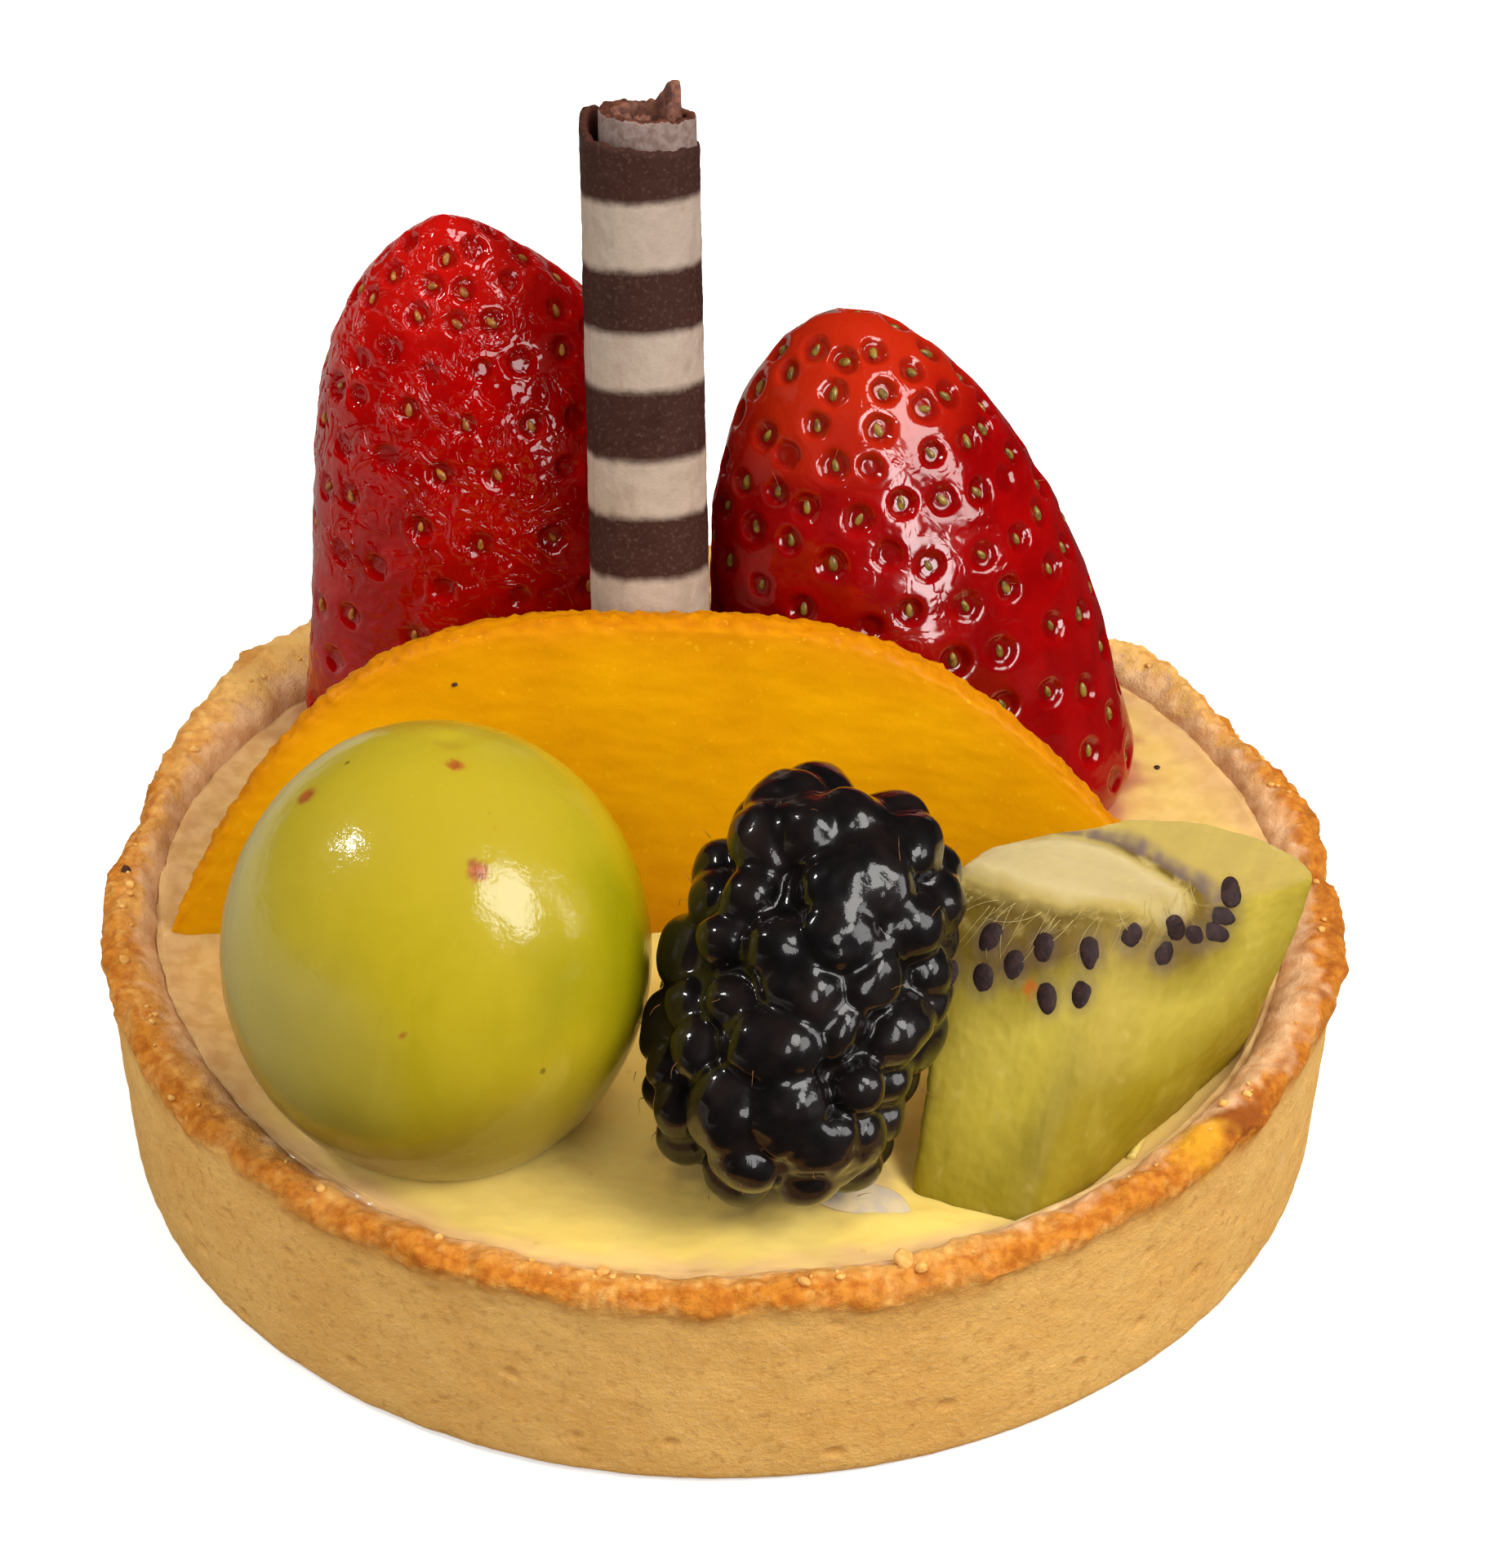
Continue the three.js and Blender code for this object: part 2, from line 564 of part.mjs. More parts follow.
function placeRoll(mesh) {
  const [x, y, z] = ROLL.through;
  const tilt = Math.tan(radians(ROLL.leanBack));
  const slide = Math.tan(radians(ROLL.leanLeft));
  mesh.position.set(x + slide * (z - ROLL.bottom), y - tilt * (z - ROLL.bottom), ROLL.bottom);
  mesh.rotation.set(-radians(ROLL.leanBack), -radians(ROLL.leanLeft), 0);
}

// ---------------------------------------------------------------- assembly

const CRUST = { color: 0xe0b476, roughness: 0.85 };
const CUSTARD = { color: 0xf0d894, roughness: 0.3 };
const STRAWBERRY = { color: 0xb50d10, roughness: 0.25 };
const PEACH_FLESH = { color: 0xe6a00c, roughness: 0.45 };
const GRAPE_SKIN = { color: 0xb7b634, roughness: 0.3 };
const BRAMBLE_SKIN = { color: 0x15101a, roughness: 0.15 };
const KIWI_FLESH = { color: 0xb2b24c, roughness: 0.35 };
const CHOCOLATE = { color: 0x50342e, roughness: 0.6 };

addMesh('tart_shell', shellGeometry(), CRUST);
const toppings = [
  addMesh('strawberry_left', strawberryGeometry(LEFT_BERRY), STRAWBERRY, placeBerry(LEFT_BERRY)),
  addMesh('strawberry_right', strawberryGeometry(RIGHT_BERRY), STRAWBERRY, placeBerry(RIGHT_BERRY)),
  addMesh('peach_slice', peachGeometry(), PEACH_FLESH, placePeach),
  addMesh('grape', grapeGeometry(), GRAPE_SKIN, placeGrape),
  addMesh('bramble_berry', brambleGeometry(), BRAMBLE_SKIN, placeBramble),
  addMesh('kiwi_chunk', kiwiGeometry(), KIWI_FLESH),
  addMesh('chocolate_roll',
    fromSolid(toSolid(rollGeometry()).add(toSolid(curlGeometry()))), CHOCOLATE, placeRoll),
];
const pocketShapes = [
  berryPocket(LEFT_BERRY, FIT_GAP), berryPocket(RIGHT_BERRY, FIT_GAP),
  peachGeometry(1.6 * FIT_GAP), grapeGeometry(FIT_GAP), bramblePocket(FIT_GAP),
  kiwiBody(1.7 * FIT_GAP), rollGeometry(FIT_GAP),
];
let filling = toSolid(custardGeometry());
toppings.forEach((mesh, i) => {
  filling = filling.subtract(toSolid(pocketShapes[i], mesh.matrix));
});
addMesh('custard', fromSolid(filling.simplify(POCKET_FINENESS)), CUSTARD);

// The origin goes under the middle of the whole
const middle = new THREE.Box3().setFromObject(tart).getCenter(vec(0, 0, 0));
tart.position.set(-middle.x, -middle.y, 0);

export default tart;
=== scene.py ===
"""Fruit tart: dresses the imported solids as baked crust, glazed custard, fruit and a chocolate roll.

Lengths are in millimetres until a mesh is made, which is in metres.
"""

import math

import bpy
import numpy as np
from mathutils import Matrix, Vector
from mathutils.bvhtree import BVHTree


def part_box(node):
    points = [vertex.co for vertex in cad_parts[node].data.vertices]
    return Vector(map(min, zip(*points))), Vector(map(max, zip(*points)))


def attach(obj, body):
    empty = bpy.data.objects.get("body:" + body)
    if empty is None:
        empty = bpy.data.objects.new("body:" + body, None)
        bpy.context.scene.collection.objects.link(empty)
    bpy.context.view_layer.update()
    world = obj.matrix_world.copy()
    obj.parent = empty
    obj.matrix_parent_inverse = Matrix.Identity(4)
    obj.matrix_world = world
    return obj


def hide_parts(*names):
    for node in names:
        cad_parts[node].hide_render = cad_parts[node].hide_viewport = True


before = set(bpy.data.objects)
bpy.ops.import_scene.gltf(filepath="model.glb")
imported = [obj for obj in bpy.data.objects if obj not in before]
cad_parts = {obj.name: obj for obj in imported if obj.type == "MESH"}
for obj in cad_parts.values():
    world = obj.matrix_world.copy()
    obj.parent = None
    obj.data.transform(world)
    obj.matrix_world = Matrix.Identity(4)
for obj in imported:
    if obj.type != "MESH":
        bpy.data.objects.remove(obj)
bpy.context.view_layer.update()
MM = 0.001

# ---------------------------------------------------------------- sizes that the solids are built to

RIM_RADIUS, BASE_RADIUS, WALL = 41.5, 40.2, 3.3
SHELL_FLOOR, CUSTARD_TOP, ABOVE_SHELL = 11.0, 15.5, 30
# Middle and half width in degrees round the rim, and depth
RIM_DENTS = [
    (4, 4, 0.9), (350, 12, -0.5), (140, 24, -2.0), (118, 4, 0.7), (167, 8, 0.7), (48, 4, 0.5),
    (28, 12, 1.1),
]
# columns and rows are of seeds, and satin, wet and crinkle say how smooth the wet skin is
LEFT_BERRY = dict(
    foot=(-14.5, 21.4), height=40.1, width=27.3, depth=19.6, tip=(-4.2, 4.0), bend=2.6,
    taper=4.0, bluntness=0.8, flare=0.12, columns=17, rows=13, sunk=0.5, shoulder=0.1,
    pit=0.92, pit_depth=0.34, satin=0.07, wet=0.33, crinkle=0.055, kernel=0.82,
)
RIGHT_BERRY = dict(
    foot=(14.9, 15.2), height=35.2, width=28.0, depth=22.6, tip=(-6.6, 5.6), bend=1,
    taper=2.4, bluntness=0.58, flare=0.04, columns=20, rows=13, sunk=0.5, shoulder=0.12,
    pit=1.0, pit_depth=0.4, satin=0.13, wet=0.02, crinkle=0.015, kernel=0.95,
)
PEACH = dict(
    middle=(-2.6, -2.8), span=69.2, rise=22.7, lean=14, sway=0.115, arch=3, slope=0.98,
    edge=1.1, skin=4.4, sunk=0.9,
)
GRAPE = dict(foot=(-18.3, -20.2), width=27.9, length=30.8, sunk=2.9)
BRAMBLE = dict(
    centre=(5.25, -24.1, 27.9), length=28.7, width=18.9, lean_back=33, lean_right=17,
    drupelets=76, radius=2.4, fullness=2.6, unevenness=0.22,
)
KIWI_BASE = [(11.8, -28.8), (20.3, -32.3), (35.1, -12.6), (18.0, -9.5)]
KIWI_TOP = [(14.6, -15.6, 30.6), (25.9, -18.5, 29.6), (39.5, -11.9, 28.0), (17.4, -11.2, 29.9)]
KIWI_CORE = np.array([(16.0, -13.0, 29.0), (28.6, -16.6, 29.2)])
KIWI_SUNK = 1.6
ROLL = dict(
    through=(-4.9, 12.15, 38.0), radius=4.0, top=65.5, bottom=10.5, lean_back=19,
    lean_left=1.1, sheet=0.75, bore=2.5, bore_depth=9, inner_step=1.8, inner_shift=0.6,
)
ROLL_LENGTH = (ROLL["top"] - ROLL["bottom"]) / math.cos(math.radians(ROLL["lean_back"]))
# Where the stripes begin and end, up the roll
STRIPE_EDGES = [10.1, 14.4, 18.7, 23.0, 27.15, 31.45, 35.3, 40.15, 44.0, 48.3, 52.8]


def box_of(node):
    """Lowest and highest corner of a solid, in millimetres."""
    low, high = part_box(node)
    return np.array(low) / MM, np.array(high) / MM


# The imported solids' origin is under their middle, this far from the places above. make_piece adds it.
SHIFT = np.append((sum(box_of("grape")) / 2)[:2] - GRAPE["foot"], 0)

# ---------------------------------------------------------------- camera of the photograph

IMAGE_WIDTH, IMAGE_HEIGHT = 1836, 1920
FOCAL_PIXELS = 9194
CAMERA_DISTANCE, CAMERA_ELEVATION = 500, math.radians(36.7)
CAMERA_TARGET = np.array([1.86, 0, 26.4])
FORWARD = np.array([0, math.cos(CAMERA_ELEVATION), -math.sin(CAMERA_ELEVATION)])
UPWARD = np.array([0, math.sin(CAMERA_ELEVATION), math.cos(CAMERA_ELEVATION)])
CAMERA_PLACE = CAMERA_TARGET - CAMERA_DISTANCE * FORWARD

# Pixels of the photograph where small things are, some with a width in millimetres
RIM_BLOB = (1508, 1365)
RIM_SMEAR = (1466, 1398)
RIM_CRUMBS = [
    (1108, 1545, 1.3), (1128, 1552, 0.8), (985, 1570, 0.75), (738, 1558, 0.8), (210, 1345, 0.5),
]
RIM_SPECK = (155, 1066, 0.7)
CUSTARD_FLECK = (1417, 940, 0.4)
PEACH_FLECK = (557, 838, 0.35)
GRAPE_SPOTS = [
    (557, 937, 0.75), (375, 975, 0.95), (585, 1066, 0.95), (608, 895, 0.3), (492, 1270, 0.25),
    (425, 1397, 0.3), (605, 1015, 0.2),
]
BRAMBLE_GLAZE = [
    (1056, 1108, 5.0), (1030, 1150, 3.6), (1092, 1200, 2.8), (975, 1385, 3.2), (1040, 1420, 2.4),
]
# With the slant in degrees
KIWI_SEEDS = [
    (1213, 1150, 10), (1279, 1162, -14), (1336, 1167, -20), (1203, 1201, -4), (1241, 1184, 0),
    (1283, 1221, -16), (1324, 1214, 0), (1161, 1190, 6), (1385, 1146, 0), (1425, 1168, 12),
    (1441, 1140, -8), (1465, 1147, -6), (1487, 1142, -16), (1497, 1121, -10), (1508, 1091, -70),
]
KIWI_RUST = (1262, 1212)
KIWI_CORE_EDGE = [(1184, 1096), (1250, 1112), (1330, 1124), (1395, 1112), (1440, 1098), (1470, 1082)]
CUSTARD_RIDGE = [(1385, 1420), (1395, 1400), (1412, 1378)]
# With half the width, depth and height
GLAZE_POOLS = [(1050, 1466, 3.7, 1.5, 0.4), (330, 1408, 0.5, 0.35, 0.2)]


def sight(pixel):
    """Direction from the camera through a pixel of the photograph."""
    across = (pixel[0] - IMAGE_WIDTH / 2) / FOCAL_PIXELS
    down = (pixel[1] - IMAGE_HEIGHT / 2) / FOCAL_PIXELS
    ray = FORWARD + np.array([across, 0, 0]) - UPWARD * down
    return ray / np.linalg.norm(ray)


def make_camera():
    data = bpy.data.cameras.new("camera")
    data.sensor_width = 36
    data.lens = FOCAL_PIXELS / IMAGE_HEIGHT * data.sensor_width
    data.clip_start, data.clip_end = 0.01, 20
    camera = add_object("camera", data)
    camera.location = (CAMERA_PLACE + SHIFT) * MM
    camera.rotation_euler = Vector(FORWARD).to_track_quat("-Z", "Y").to_euler()
    bpy.context.scene.camera = camera


# ---------------------------------------------------------------- noise

_random = np.random.default_rng(11)
_SHUFFLE = np.tile(_random.permutation(256), 2)
_SLOPES = _random.normal(size=(256, 3))
_SLOPES /= np.linalg.norm(_SLOPES, axis=1)[:, None]


def _hash(cell):
    a = _SHUFFLE[cell[..., 0] & 255]
    b = _SHUFFLE[(a + cell[..., 1]) & 255]
    return _SHUFFLE[(b + cell[..., 2]) & 255]


def noise(points):
    """Smooth noise of about -1 to 1 at each point, with features one unit across."""
    cell = np.floor(points).astype(int)
    part = points - cell
    fade = part**3 * (part * (part * 6 - 15) + 10)
    total = np.zeros(points.shape[:-1])
    for corner in np.ndindex(2, 2, 2):
        slope = _SLOPES[_hash(cell + corner)]
        weight = np.prod(np.where(corner, fade, 1 - fade), axis=-1)
        total += weight * ((part - corner) * slope).sum(-1)
    return 1.6 * total


def rough(points, octaves):
    """Noise summed over octaves."""
    return sum(0.5**k * noise(points * 2.03**k + 7.1 * k) for k in range(octaves))


def grains(points):
    """Distance to the nearest of randomly scattered centres, one for each unit cell."""
    cell = np.floor(points).astype(int)
    nearest = np.full(points.shape[:-1], 9.0)
    for offset in np.ndindex(3, 3, 3):
        other = cell + offset - 1
        centre = other + 0.5 + 0.42 * _SLOPES[_hash(other)]
        nearest = np.minimum(nearest, norm(points - centre))
    return nearest


def smoothstep(low, high, value):
    share = np.clip((value - low) / (high - low), 0, 1)
    return share * share * (3 - 2 * share)


def norm(vectors):
    """The length of each vector."""
    return np.linalg.norm(vectors, axis=-1)


def bell(value, width):
    """1 where value is 0, fading out to both sides."""
    return np.exp(-((value / width) ** 2))


# ---------------------------------------------------------------- lines and meshes

HAIR_RADIUS = 0.03


def turns(count):
    """Equal steps once round."""
    return 2 * np.pi * np.arange(count) / count


def circle(turn, reach=1.0, height=0.0):
    """Points round the upright axis."""
    return np.stack(np.broadcast_arrays(reach * np.cos(turn), reach * np.sin(turn), height), -1)


def rounded(corners, times):
    """A line with its corners cut off again and again."""
    line = np.array(corners, float)
    for _ in range(times):
        ahead, behind = line[1:], line[:-1]
        cut = np.stack([0.75 * behind + 0.25 * ahead, 0.25 * behind + 0.75 * ahead], 1)
        line = np.vstack([line[:1], cut.reshape(-1, line.shape[1]), line[-1:]])
    return line


def evenly(line, count):
    """Points at equal steps along a line, which is measured by its first two columns."""
    lengths = np.append(0, np.cumsum(norm(np.diff(line[:, :2], axis=0))))
    places = np.linspace(0, lengths[-1], count)
    return np.stack([np.interp(places, lengths, column) for column in line.T], -1)


def loft(rings, start, end):
    """Points and faces of a skin over rings of equal count, closed by a start and an end point."""
    rows, columns = rings.shape[:2]
    index = np.arange(rows * columns).reshape(rows, columns)
    turned = np.roll(index, -1, axis=1)
    faces = np.stack([index[:-1], turned[:-1], turned[1:], index[1:]], -1).reshape(-1, 4).tolist()
    first, last = rows * columns, rows * columns + 1
    faces += [(first, b, a) for a, b in zip(index[0].tolist(), turned[0].tolist())]
    faces += [(last, a, b) for a, b in zip(index[-1].tolist(), turned[-1].tolist())]
    return np.vstack([rings.reshape(-1, 3), start, end]), faces


def with_ends(rows, start=0, end=0):
    """A number for every point of a loft, from those of its rings."""
    return np.append(np.asarray(rows).ravel(), [start, end])


def joined(parts):
    """One set of points and faces from several."""
    points, faces, first = [], [], 0
    for part_points, part_faces in parts:
        points.append(part_points)
        faces += [tuple(first + i for i in face) for face in part_faces]
        first += len(part_points)
    return np.vstack(points), faces


def new_mesh(name, points, faces):
    mesh = bpy.data.meshes.new(name)
    mesh.from_pydata(np.asarray(points).tolist(), [], faces)
    return mesh


def add_object(name, data):
    thing = bpy.data.objects.new(name, data)
    bpy.context.scene.collection.objects.link(thing)
    return thing


def make_piece(name, points, faces, material, slot, replaces=None, values=None):
    """A smooth mesh object in metres, riding on the part. values are numbers kept for each point."""
    mesh = new_mesh(name, (points + SHIFT) * MM, faces)
    for key, numbers in (values or {}).items():
        mesh.attributes.new(key, "FLOAT", "POINT").data.foreach_set("value", np.float32(numbers))
    mesh.polygons.foreach_set("use_smooth", np.ones(len(mesh.polygons), bool))
    mesh.materials.append(material)
    piece = add_object(name, mesh)
    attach(piece, "root")
    if replaces:
        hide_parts(replaces)


def read_points(mesh, key):
    """The place, co, or the normal of each point of a mesh."""
    numbers = np.empty(len(mesh.vertices) * 3, np.float32)
    mesh.vertices.foreach_get(key, numbers)
    return numbers.reshape(-1, 3)


def faces_of(mesh):
    return [tuple(face.vertices) for face in mesh.polygons]


def normals_of(points, faces):
    """The unit normal at each point of a skin."""
    mesh = new_mesh("scratch", points, faces)
    normals = read_points(mesh, "normal")
    bpy.data.meshes.remove(mesh)
    return normals


def tree_of(points, faces):
    return BVHTree.FromPolygons(np.asarray(points).tolist(), faces)


def solid_tree(node):
    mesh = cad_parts[node].data
    return tree_of(read_points(mesh, "co") / MM - SHIFT, faces_of(mesh))


def seen_at(tree, pixel):
    """The point and normal of a skin where the photograph's camera sees it at a pixel."""
    place, normal, _, _ = tree.ray_cast(Vector(CAMERA_PLACE), Vector(sight(pixel)))
    return np.array(place), np.array(normal)


def seen_from_above(tree, x, y):
    """The point and normal of the shell's skin under a place, or None for both."""
    place, normal, _, _ = tree.ray_cast(Vector((x, y, ABOVE_SHELL)), Vector((0, 0, -1)))
    return place, normal


def patches(marks, points, tree, ragged):
    """1 in round patches at pixels of the photograph and 0 elsewhere. ragged roughens their edges."""
    patch = np.zeros(len(points))
    for x, y, wide in marks:
        away = norm(points - seen_at(tree, (x, y))[0]) + ragged
        patch = np.maximum(patch, smoothstep(wide, 0.45 * wide, away))
    return patch


def turned_about(points, back=0.0, right=0.0):
    """Points leaned back, towards +Y, after being leaned right, towards +X, in degrees."""
    a, b = -math.radians(back), math.radians(right)
    lean_back = np.array([[1, 0, 0], [0, math.cos(a), -math.sin(a)], [0, math.sin(a), math.cos(a)]])
    lean_right = np.array([[math.cos(b), 0, math.sin(b)], [0, 1, 0], [-math.sin(b), 0, math.cos(b)]])
    return points @ (lean_back @ lean_right).T


def frame_on(normal, towards):
    """Three axes: across, along the surface towards a direction, and out of the surface."""
    out = normal / np.linalg.norm(normal)
    along = towards - out * (towards @ out)
    along /= np.linalg.norm(along)
    return np.stack([np.cross(along, out), along, out])


def pebble(size, rows=8, columns=10, point=0.0):
    """An oval of the given half sizes, narrowed towards +y by point."""
    angle = np.pi * (np.arange(1, rows) / rows - 0.5)[:, None]
    y = np.sin(angle)
    reach = (1 - point * (y + 1) / 2) * np.cos(angle)
    points, faces = loft(circle(turns(columns), reach, y)[..., [1, 2, 0]], [0, -1, 0], [0, 1, 0])
    return points * size, faces


def thread(path, ahead, aside, wide, count):
    """A thin skin round a path. aside is a direction across it, and wide half its width all along."""
    side = np.cross(ahead, aside)
    side /= np.linalg.norm(side, axis=-1, keepdims=True)
    other = np.cross(ahead, side)
    other /= np.linalg.norm(other, axis=-1, keepdims=True)
    rings = np.stack([path + wide * (side * math.cos(t) + other * math.sin(t)) for t in turns(count)], 1)
    return loft(rings, rings[0].mean(0), rings[-1].mean(0))


def strand(path, radius):
    """A thread that thins out along a path of points."""
    path = np.array(path)
    wide = radius * (1 - 0.7 * np.linspace(0, 1, len(path)) ** 2)[:, None]
    return thread(path, np.gradient(path, axis=0), [0.2, 0.3, 1.0], wide, 5)


def hair(start, direction, length, random):
    """A thin bent spike that begins a little under the skin."""
    direction = direction / np.linalg.norm(direction)
    bend = random.normal(size=3) * 0.35 * length
    share = np.array([-0.15, 0.3, 0.65, 1.0])[:, None]
    path = start + direction * length * share + bend * share**2
    return thread(path, direction, [0.3, 0.9, 0.1], HAIR_RADIUS * (1.1 - 0.8 * share), 4)


# ---------------------------------------------------------------- materials


def light_of(colour):
    """A colour as a screen shows it, 0 to 255, as the light that it stands for."""
    shares = (np.array(colour) / 255).tolist()
    return tuple(c / 12.92 if c < 0.04 else ((c + 0.055) / 1.055) ** 2.4 for c in shares) + (1,)


def scatter(weight, reach, depth):
    """Light that goes into a surface and out again. reach is for red, green and blue, in shares of depth."""
    return dict(Subsurface_Weight=weight, Subsurface_Radius=reach, Subsurface_Scale=depth * MM)


def coat(weight, roughness, ior=1.5):
    return dict(Coat_Weight=weight, Coat_Roughness=roughness, Coat_IOR=ior)


class Shader:
    """A material of nodes round one principled surface. Inputs are numbers or sockets."""

    def __init__(self, name, **surface):
        self.material = bpy.data.materials.new(name)
        self.material.use_nodes = True
        self.tree = self.material.node_tree
        self.surface = self.tree.nodes["Principled BSDF"]
        self.place = self.tree.nodes.new("ShaderNodeTexCoord").outputs["Object"]
        self.finish(**surface)

    def finish(self, **surface):
        for key, value in surface.items():
            self._feed(self.surface.inputs[key.replace("_", " ")], value)
        return self.material

    def _feed(self, socket, value):
        if isinstance(value, bpy.types.NodeSocket):
            self.tree.links.new(value, socket)
        else:
            socket.default_value = value

    def node(self, kind, inputs, output=0, **settings):
        node = self.tree.nodes.new("ShaderNode" + kind)
        for key, value in settings.items():
            setattr(node, key, value)
        for key, value in inputs.items():
            self._feed(node.inputs[key], value)
        return node.outputs[output]

    def value(self, key):
        """A number kept for each point of the mesh."""
        return self.node("Attribute", {}, output="Fac", attribute_name=key)

    def math(self, operation, a, b):
        return self.node("Math", {0: a, 1: b}, operation=operation)

    def times(self, a, b):
        return self.math("MULTIPLY", a, b)

    def strayed(self, value, noise, reach):
        """A value moved to both sides by noise."""
        return self.math("ADD", value, self.times(self.math("SUBTRACT", noise, 0.5), reach))

    def noise(self, size, detail, roughness=0.5, distortion=0.0, vector=None):
        """Noise of 0 to 1 with features of about the given size in millimetres."""
        inputs = {"Vector": vector or self.place, "Scale": 1 / (size * MM), "Detail": detail}
        inputs.update({"Roughness": roughness, "Distortion": distortion})
        return self.node("TexNoise", inputs, output="Fac")

    def cells(self, size, vector=None):
        """Distance to the nearest of scattered centres, about the given size apart in millimetres."""
        inputs = {"Vector": vector or self.place, "Scale": 1 / (size * MM)}
        return self.node("TexVoronoi", inputs, output="Distance")

    def stretched(self, x, y, z):
        """Object coordinates with each axis scaled."""
        return self.node("Mapping", {"Vector": self.place, "Scale": (x, y, z)})

    def between(self, low, high, value, start=0.0, end=1.0):
        """Goes smoothly from start to end while value goes from low to high."""
        inputs = {"Value": value, "From Min": low, "From Max": high, "To Min": start, "To Max": end}
        return self.node("MapRange", inputs, interpolation_type="SMOOTHSTEP")

    def mix(self, share, a, b, blend="MIX"):
        """Colours are sockets, or red, green and blue as a screen shows them."""
        a, b = (light_of(colour) if isinstance(colour, tuple) else colour for colour in (a, b))
        return self.node("Mix", {0: share, 6: a, 7: b}, output=2, data_type="RGBA", blend_type=blend)

    def veiled(self, colour, tint, value, low=0.35, high=0.65, most=1.0, blend="MIX"):
        """A colour with a tint laid over it as value goes from low to high."""
        return self.mix(self.between(low, high, value, 0, most), colour, tint, blend)

    def tinted(self, colour, **tints):
        """A colour with tints laid over it where the values of those names, kept for each point, say."""
        for key, tint in tints.items():
            colour = self.mix(self.value(key), colour, tint)
        return colour

    def ramp(self, value, stops):
        output = self.node("ValToRGB", {0: value})
        elements = output.node.color_ramp.elements
        while len(elements) < len(stops):
            elements.new(0.5)
        for element, (position, colour) in zip(elements, stops):
            element.position = position
            element.color = light_of(colour)
        return output

    def bump(self, height, depth, strength, below=None):
        """A normal for relief of the given depth in millimetres."""
        inputs = {"Height": height, "Distance": depth * MM, "Strength": strength}
        if below:
            inputs["Normal"] = below
        return self.node("Bump", inputs)


def crust_material():
    m = Shader("baked_crust", Roughness=0.75, Specular_IOR_Level=0.12, **scatter(0.1, (1.0, 0.6, 0.3), 0.8))
    fine, broad = m.noise(0.42, 4, 0.65), m.noise(7.0, 3)
    pale = m.veiled((234, 185, 106), (226, 172, 93), broad, 0.3, 0.7)
    pale = m.veiled(pale, (234, 192, 126), fine, 0.48, 0.72, 0.6)
    pale = m.veiled(pale, (192, 136, 70), m.noise(0.75, 4, 0.6), 0.48, 0.3, 0.5)
    toasted = m.veiled((202, 128, 42), (176, 98, 26), m.noise(0.8, 4, 0.6))
    # brown also holds painted light: the back of the rim is paler
    brown = m.strayed(m.value("brown"), fine, 0.7)
    colour = m.veiled(pale, toasted, brown, 0.05, 1.0)
    colour = m.veiled(colour, (146, 76, 24), brown, 1.0, 1.7)
    speck = m.between(0.13, 0.05, m.cells(2.1), 0, 0.5)
    colour = m.mix(m.times(speck, m.between(0.5, 0.62, broad)), colour, (146, 92, 40))
    # Painted shade: the crust is darker in its pits
    colour = m.mix(m.times(m.value("pit"), 0.35), colour, (172, 112, 50))
    smear = m.veiled((230, 186, 140), (210, 158, 108), m.noise(1.3, 4))
    colour = m.tinted(colour, cream=smear, yolk=(230, 170, 40))
    relief = m.bump(m.noise(0.16, 3, 0.6), 0.07, 0.9, below=m.bump(fine, 0.19, 0.8))
    return m.finish(Base_Color=colour, Normal=relief)


def custard_material():
    m = Shader(
        "glazed_custard", Roughness=0.45, Specular_IOR_Level=0.25,
        **scatter(0.4, (1.0, 0.75, 0.35), 1.8), **coat(0.5, 0.12),
    )
    colour = m.veiled((251, 218, 122), (249, 213, 111), m.noise(8.0, 3), 0.3, 0.72)
    # The film's colours also paint the shadow behind the grape
    film = m.veiled((208, 164, 110), (188, 138, 82), m.noise(1.3, 4))
    # Grey round the bramble berry is painted shade, and the red round the strawberries is partly painted
    # shade
    colour = m.tinted(
        colour, pale=(238, 194, 130), film=film, yolk=(232, 178, 22), red=(176, 92, 80), grey=(138, 116, 92)
    )
    colour = m.veiled(colour, (212, 156, 62), m.cells(3.4), 0.1, 0.04, 0.3)
    relief, wet = m.bump(m.noise(1.4, 3), 0.08, 0.5), m.bump(m.noise(2.2, 3), 0.22, 0.5)
    return m.finish(Base_Color=colour, Normal=relief, Coat_Normal=wet)


def strawberry_material(name, satin, wetness, ripe, bright, dark, tip):
    m = Shader(
        name, Roughness=0.5, Specular_IOR_Level=0.0,
        **scatter(0.15, (1.0, 0.08, 0.04), 1.0), **coat(1.0, satin, 1.48),
    )
    colour = m.tinted(m.veiled(ripe, bright, m.noise(3.2, 4), 0.35, 0.68), tip=tip)
    # Painted shade: the pits are a darker red
    colour = m.mix(m.times(m.value("pit"), 0.5), colour, dark)
    crease = m.times(m.between(0.46, 0.6, m.noise(2.2, 2, 0.5, 1.4)), m.value("wrinkle"))
    wet = m.bump(m.noise(0.9, 1, 0.5, 0.6), 0.6 * wetness, 0.3, below=m.bump(crease, wetness, 1.0))
    return m.finish(Base_Color=colour, Normal=m.bump(m.noise(0.35, 3), 0.05, 0.5), Coat_Normal=wet)


def seed_material(name, colour, shade):
    m = Shader(name, Roughness=0.4, **coat(0.5, 0.15))
    mixed = m.veiled(colour, shade, m.noise(0.5, 3))
    return m.finish(Base_Color=mixed, Normal=m.bump(m.noise(0.2, 2), 0.03, 0.5))


def crumb_material(name, colour, shade):
    m = Shader(name, Roughness=0.7, **scatter(0.2, (1.0, 0.6, 0.3), 0.6))
    mixed = m.veiled(colour, shade, m.noise(0.5, 3))
    return m.finish(Base_Color=mixed, Normal=m.bump(m.noise(0.25, 3), 0.08, 0.7))


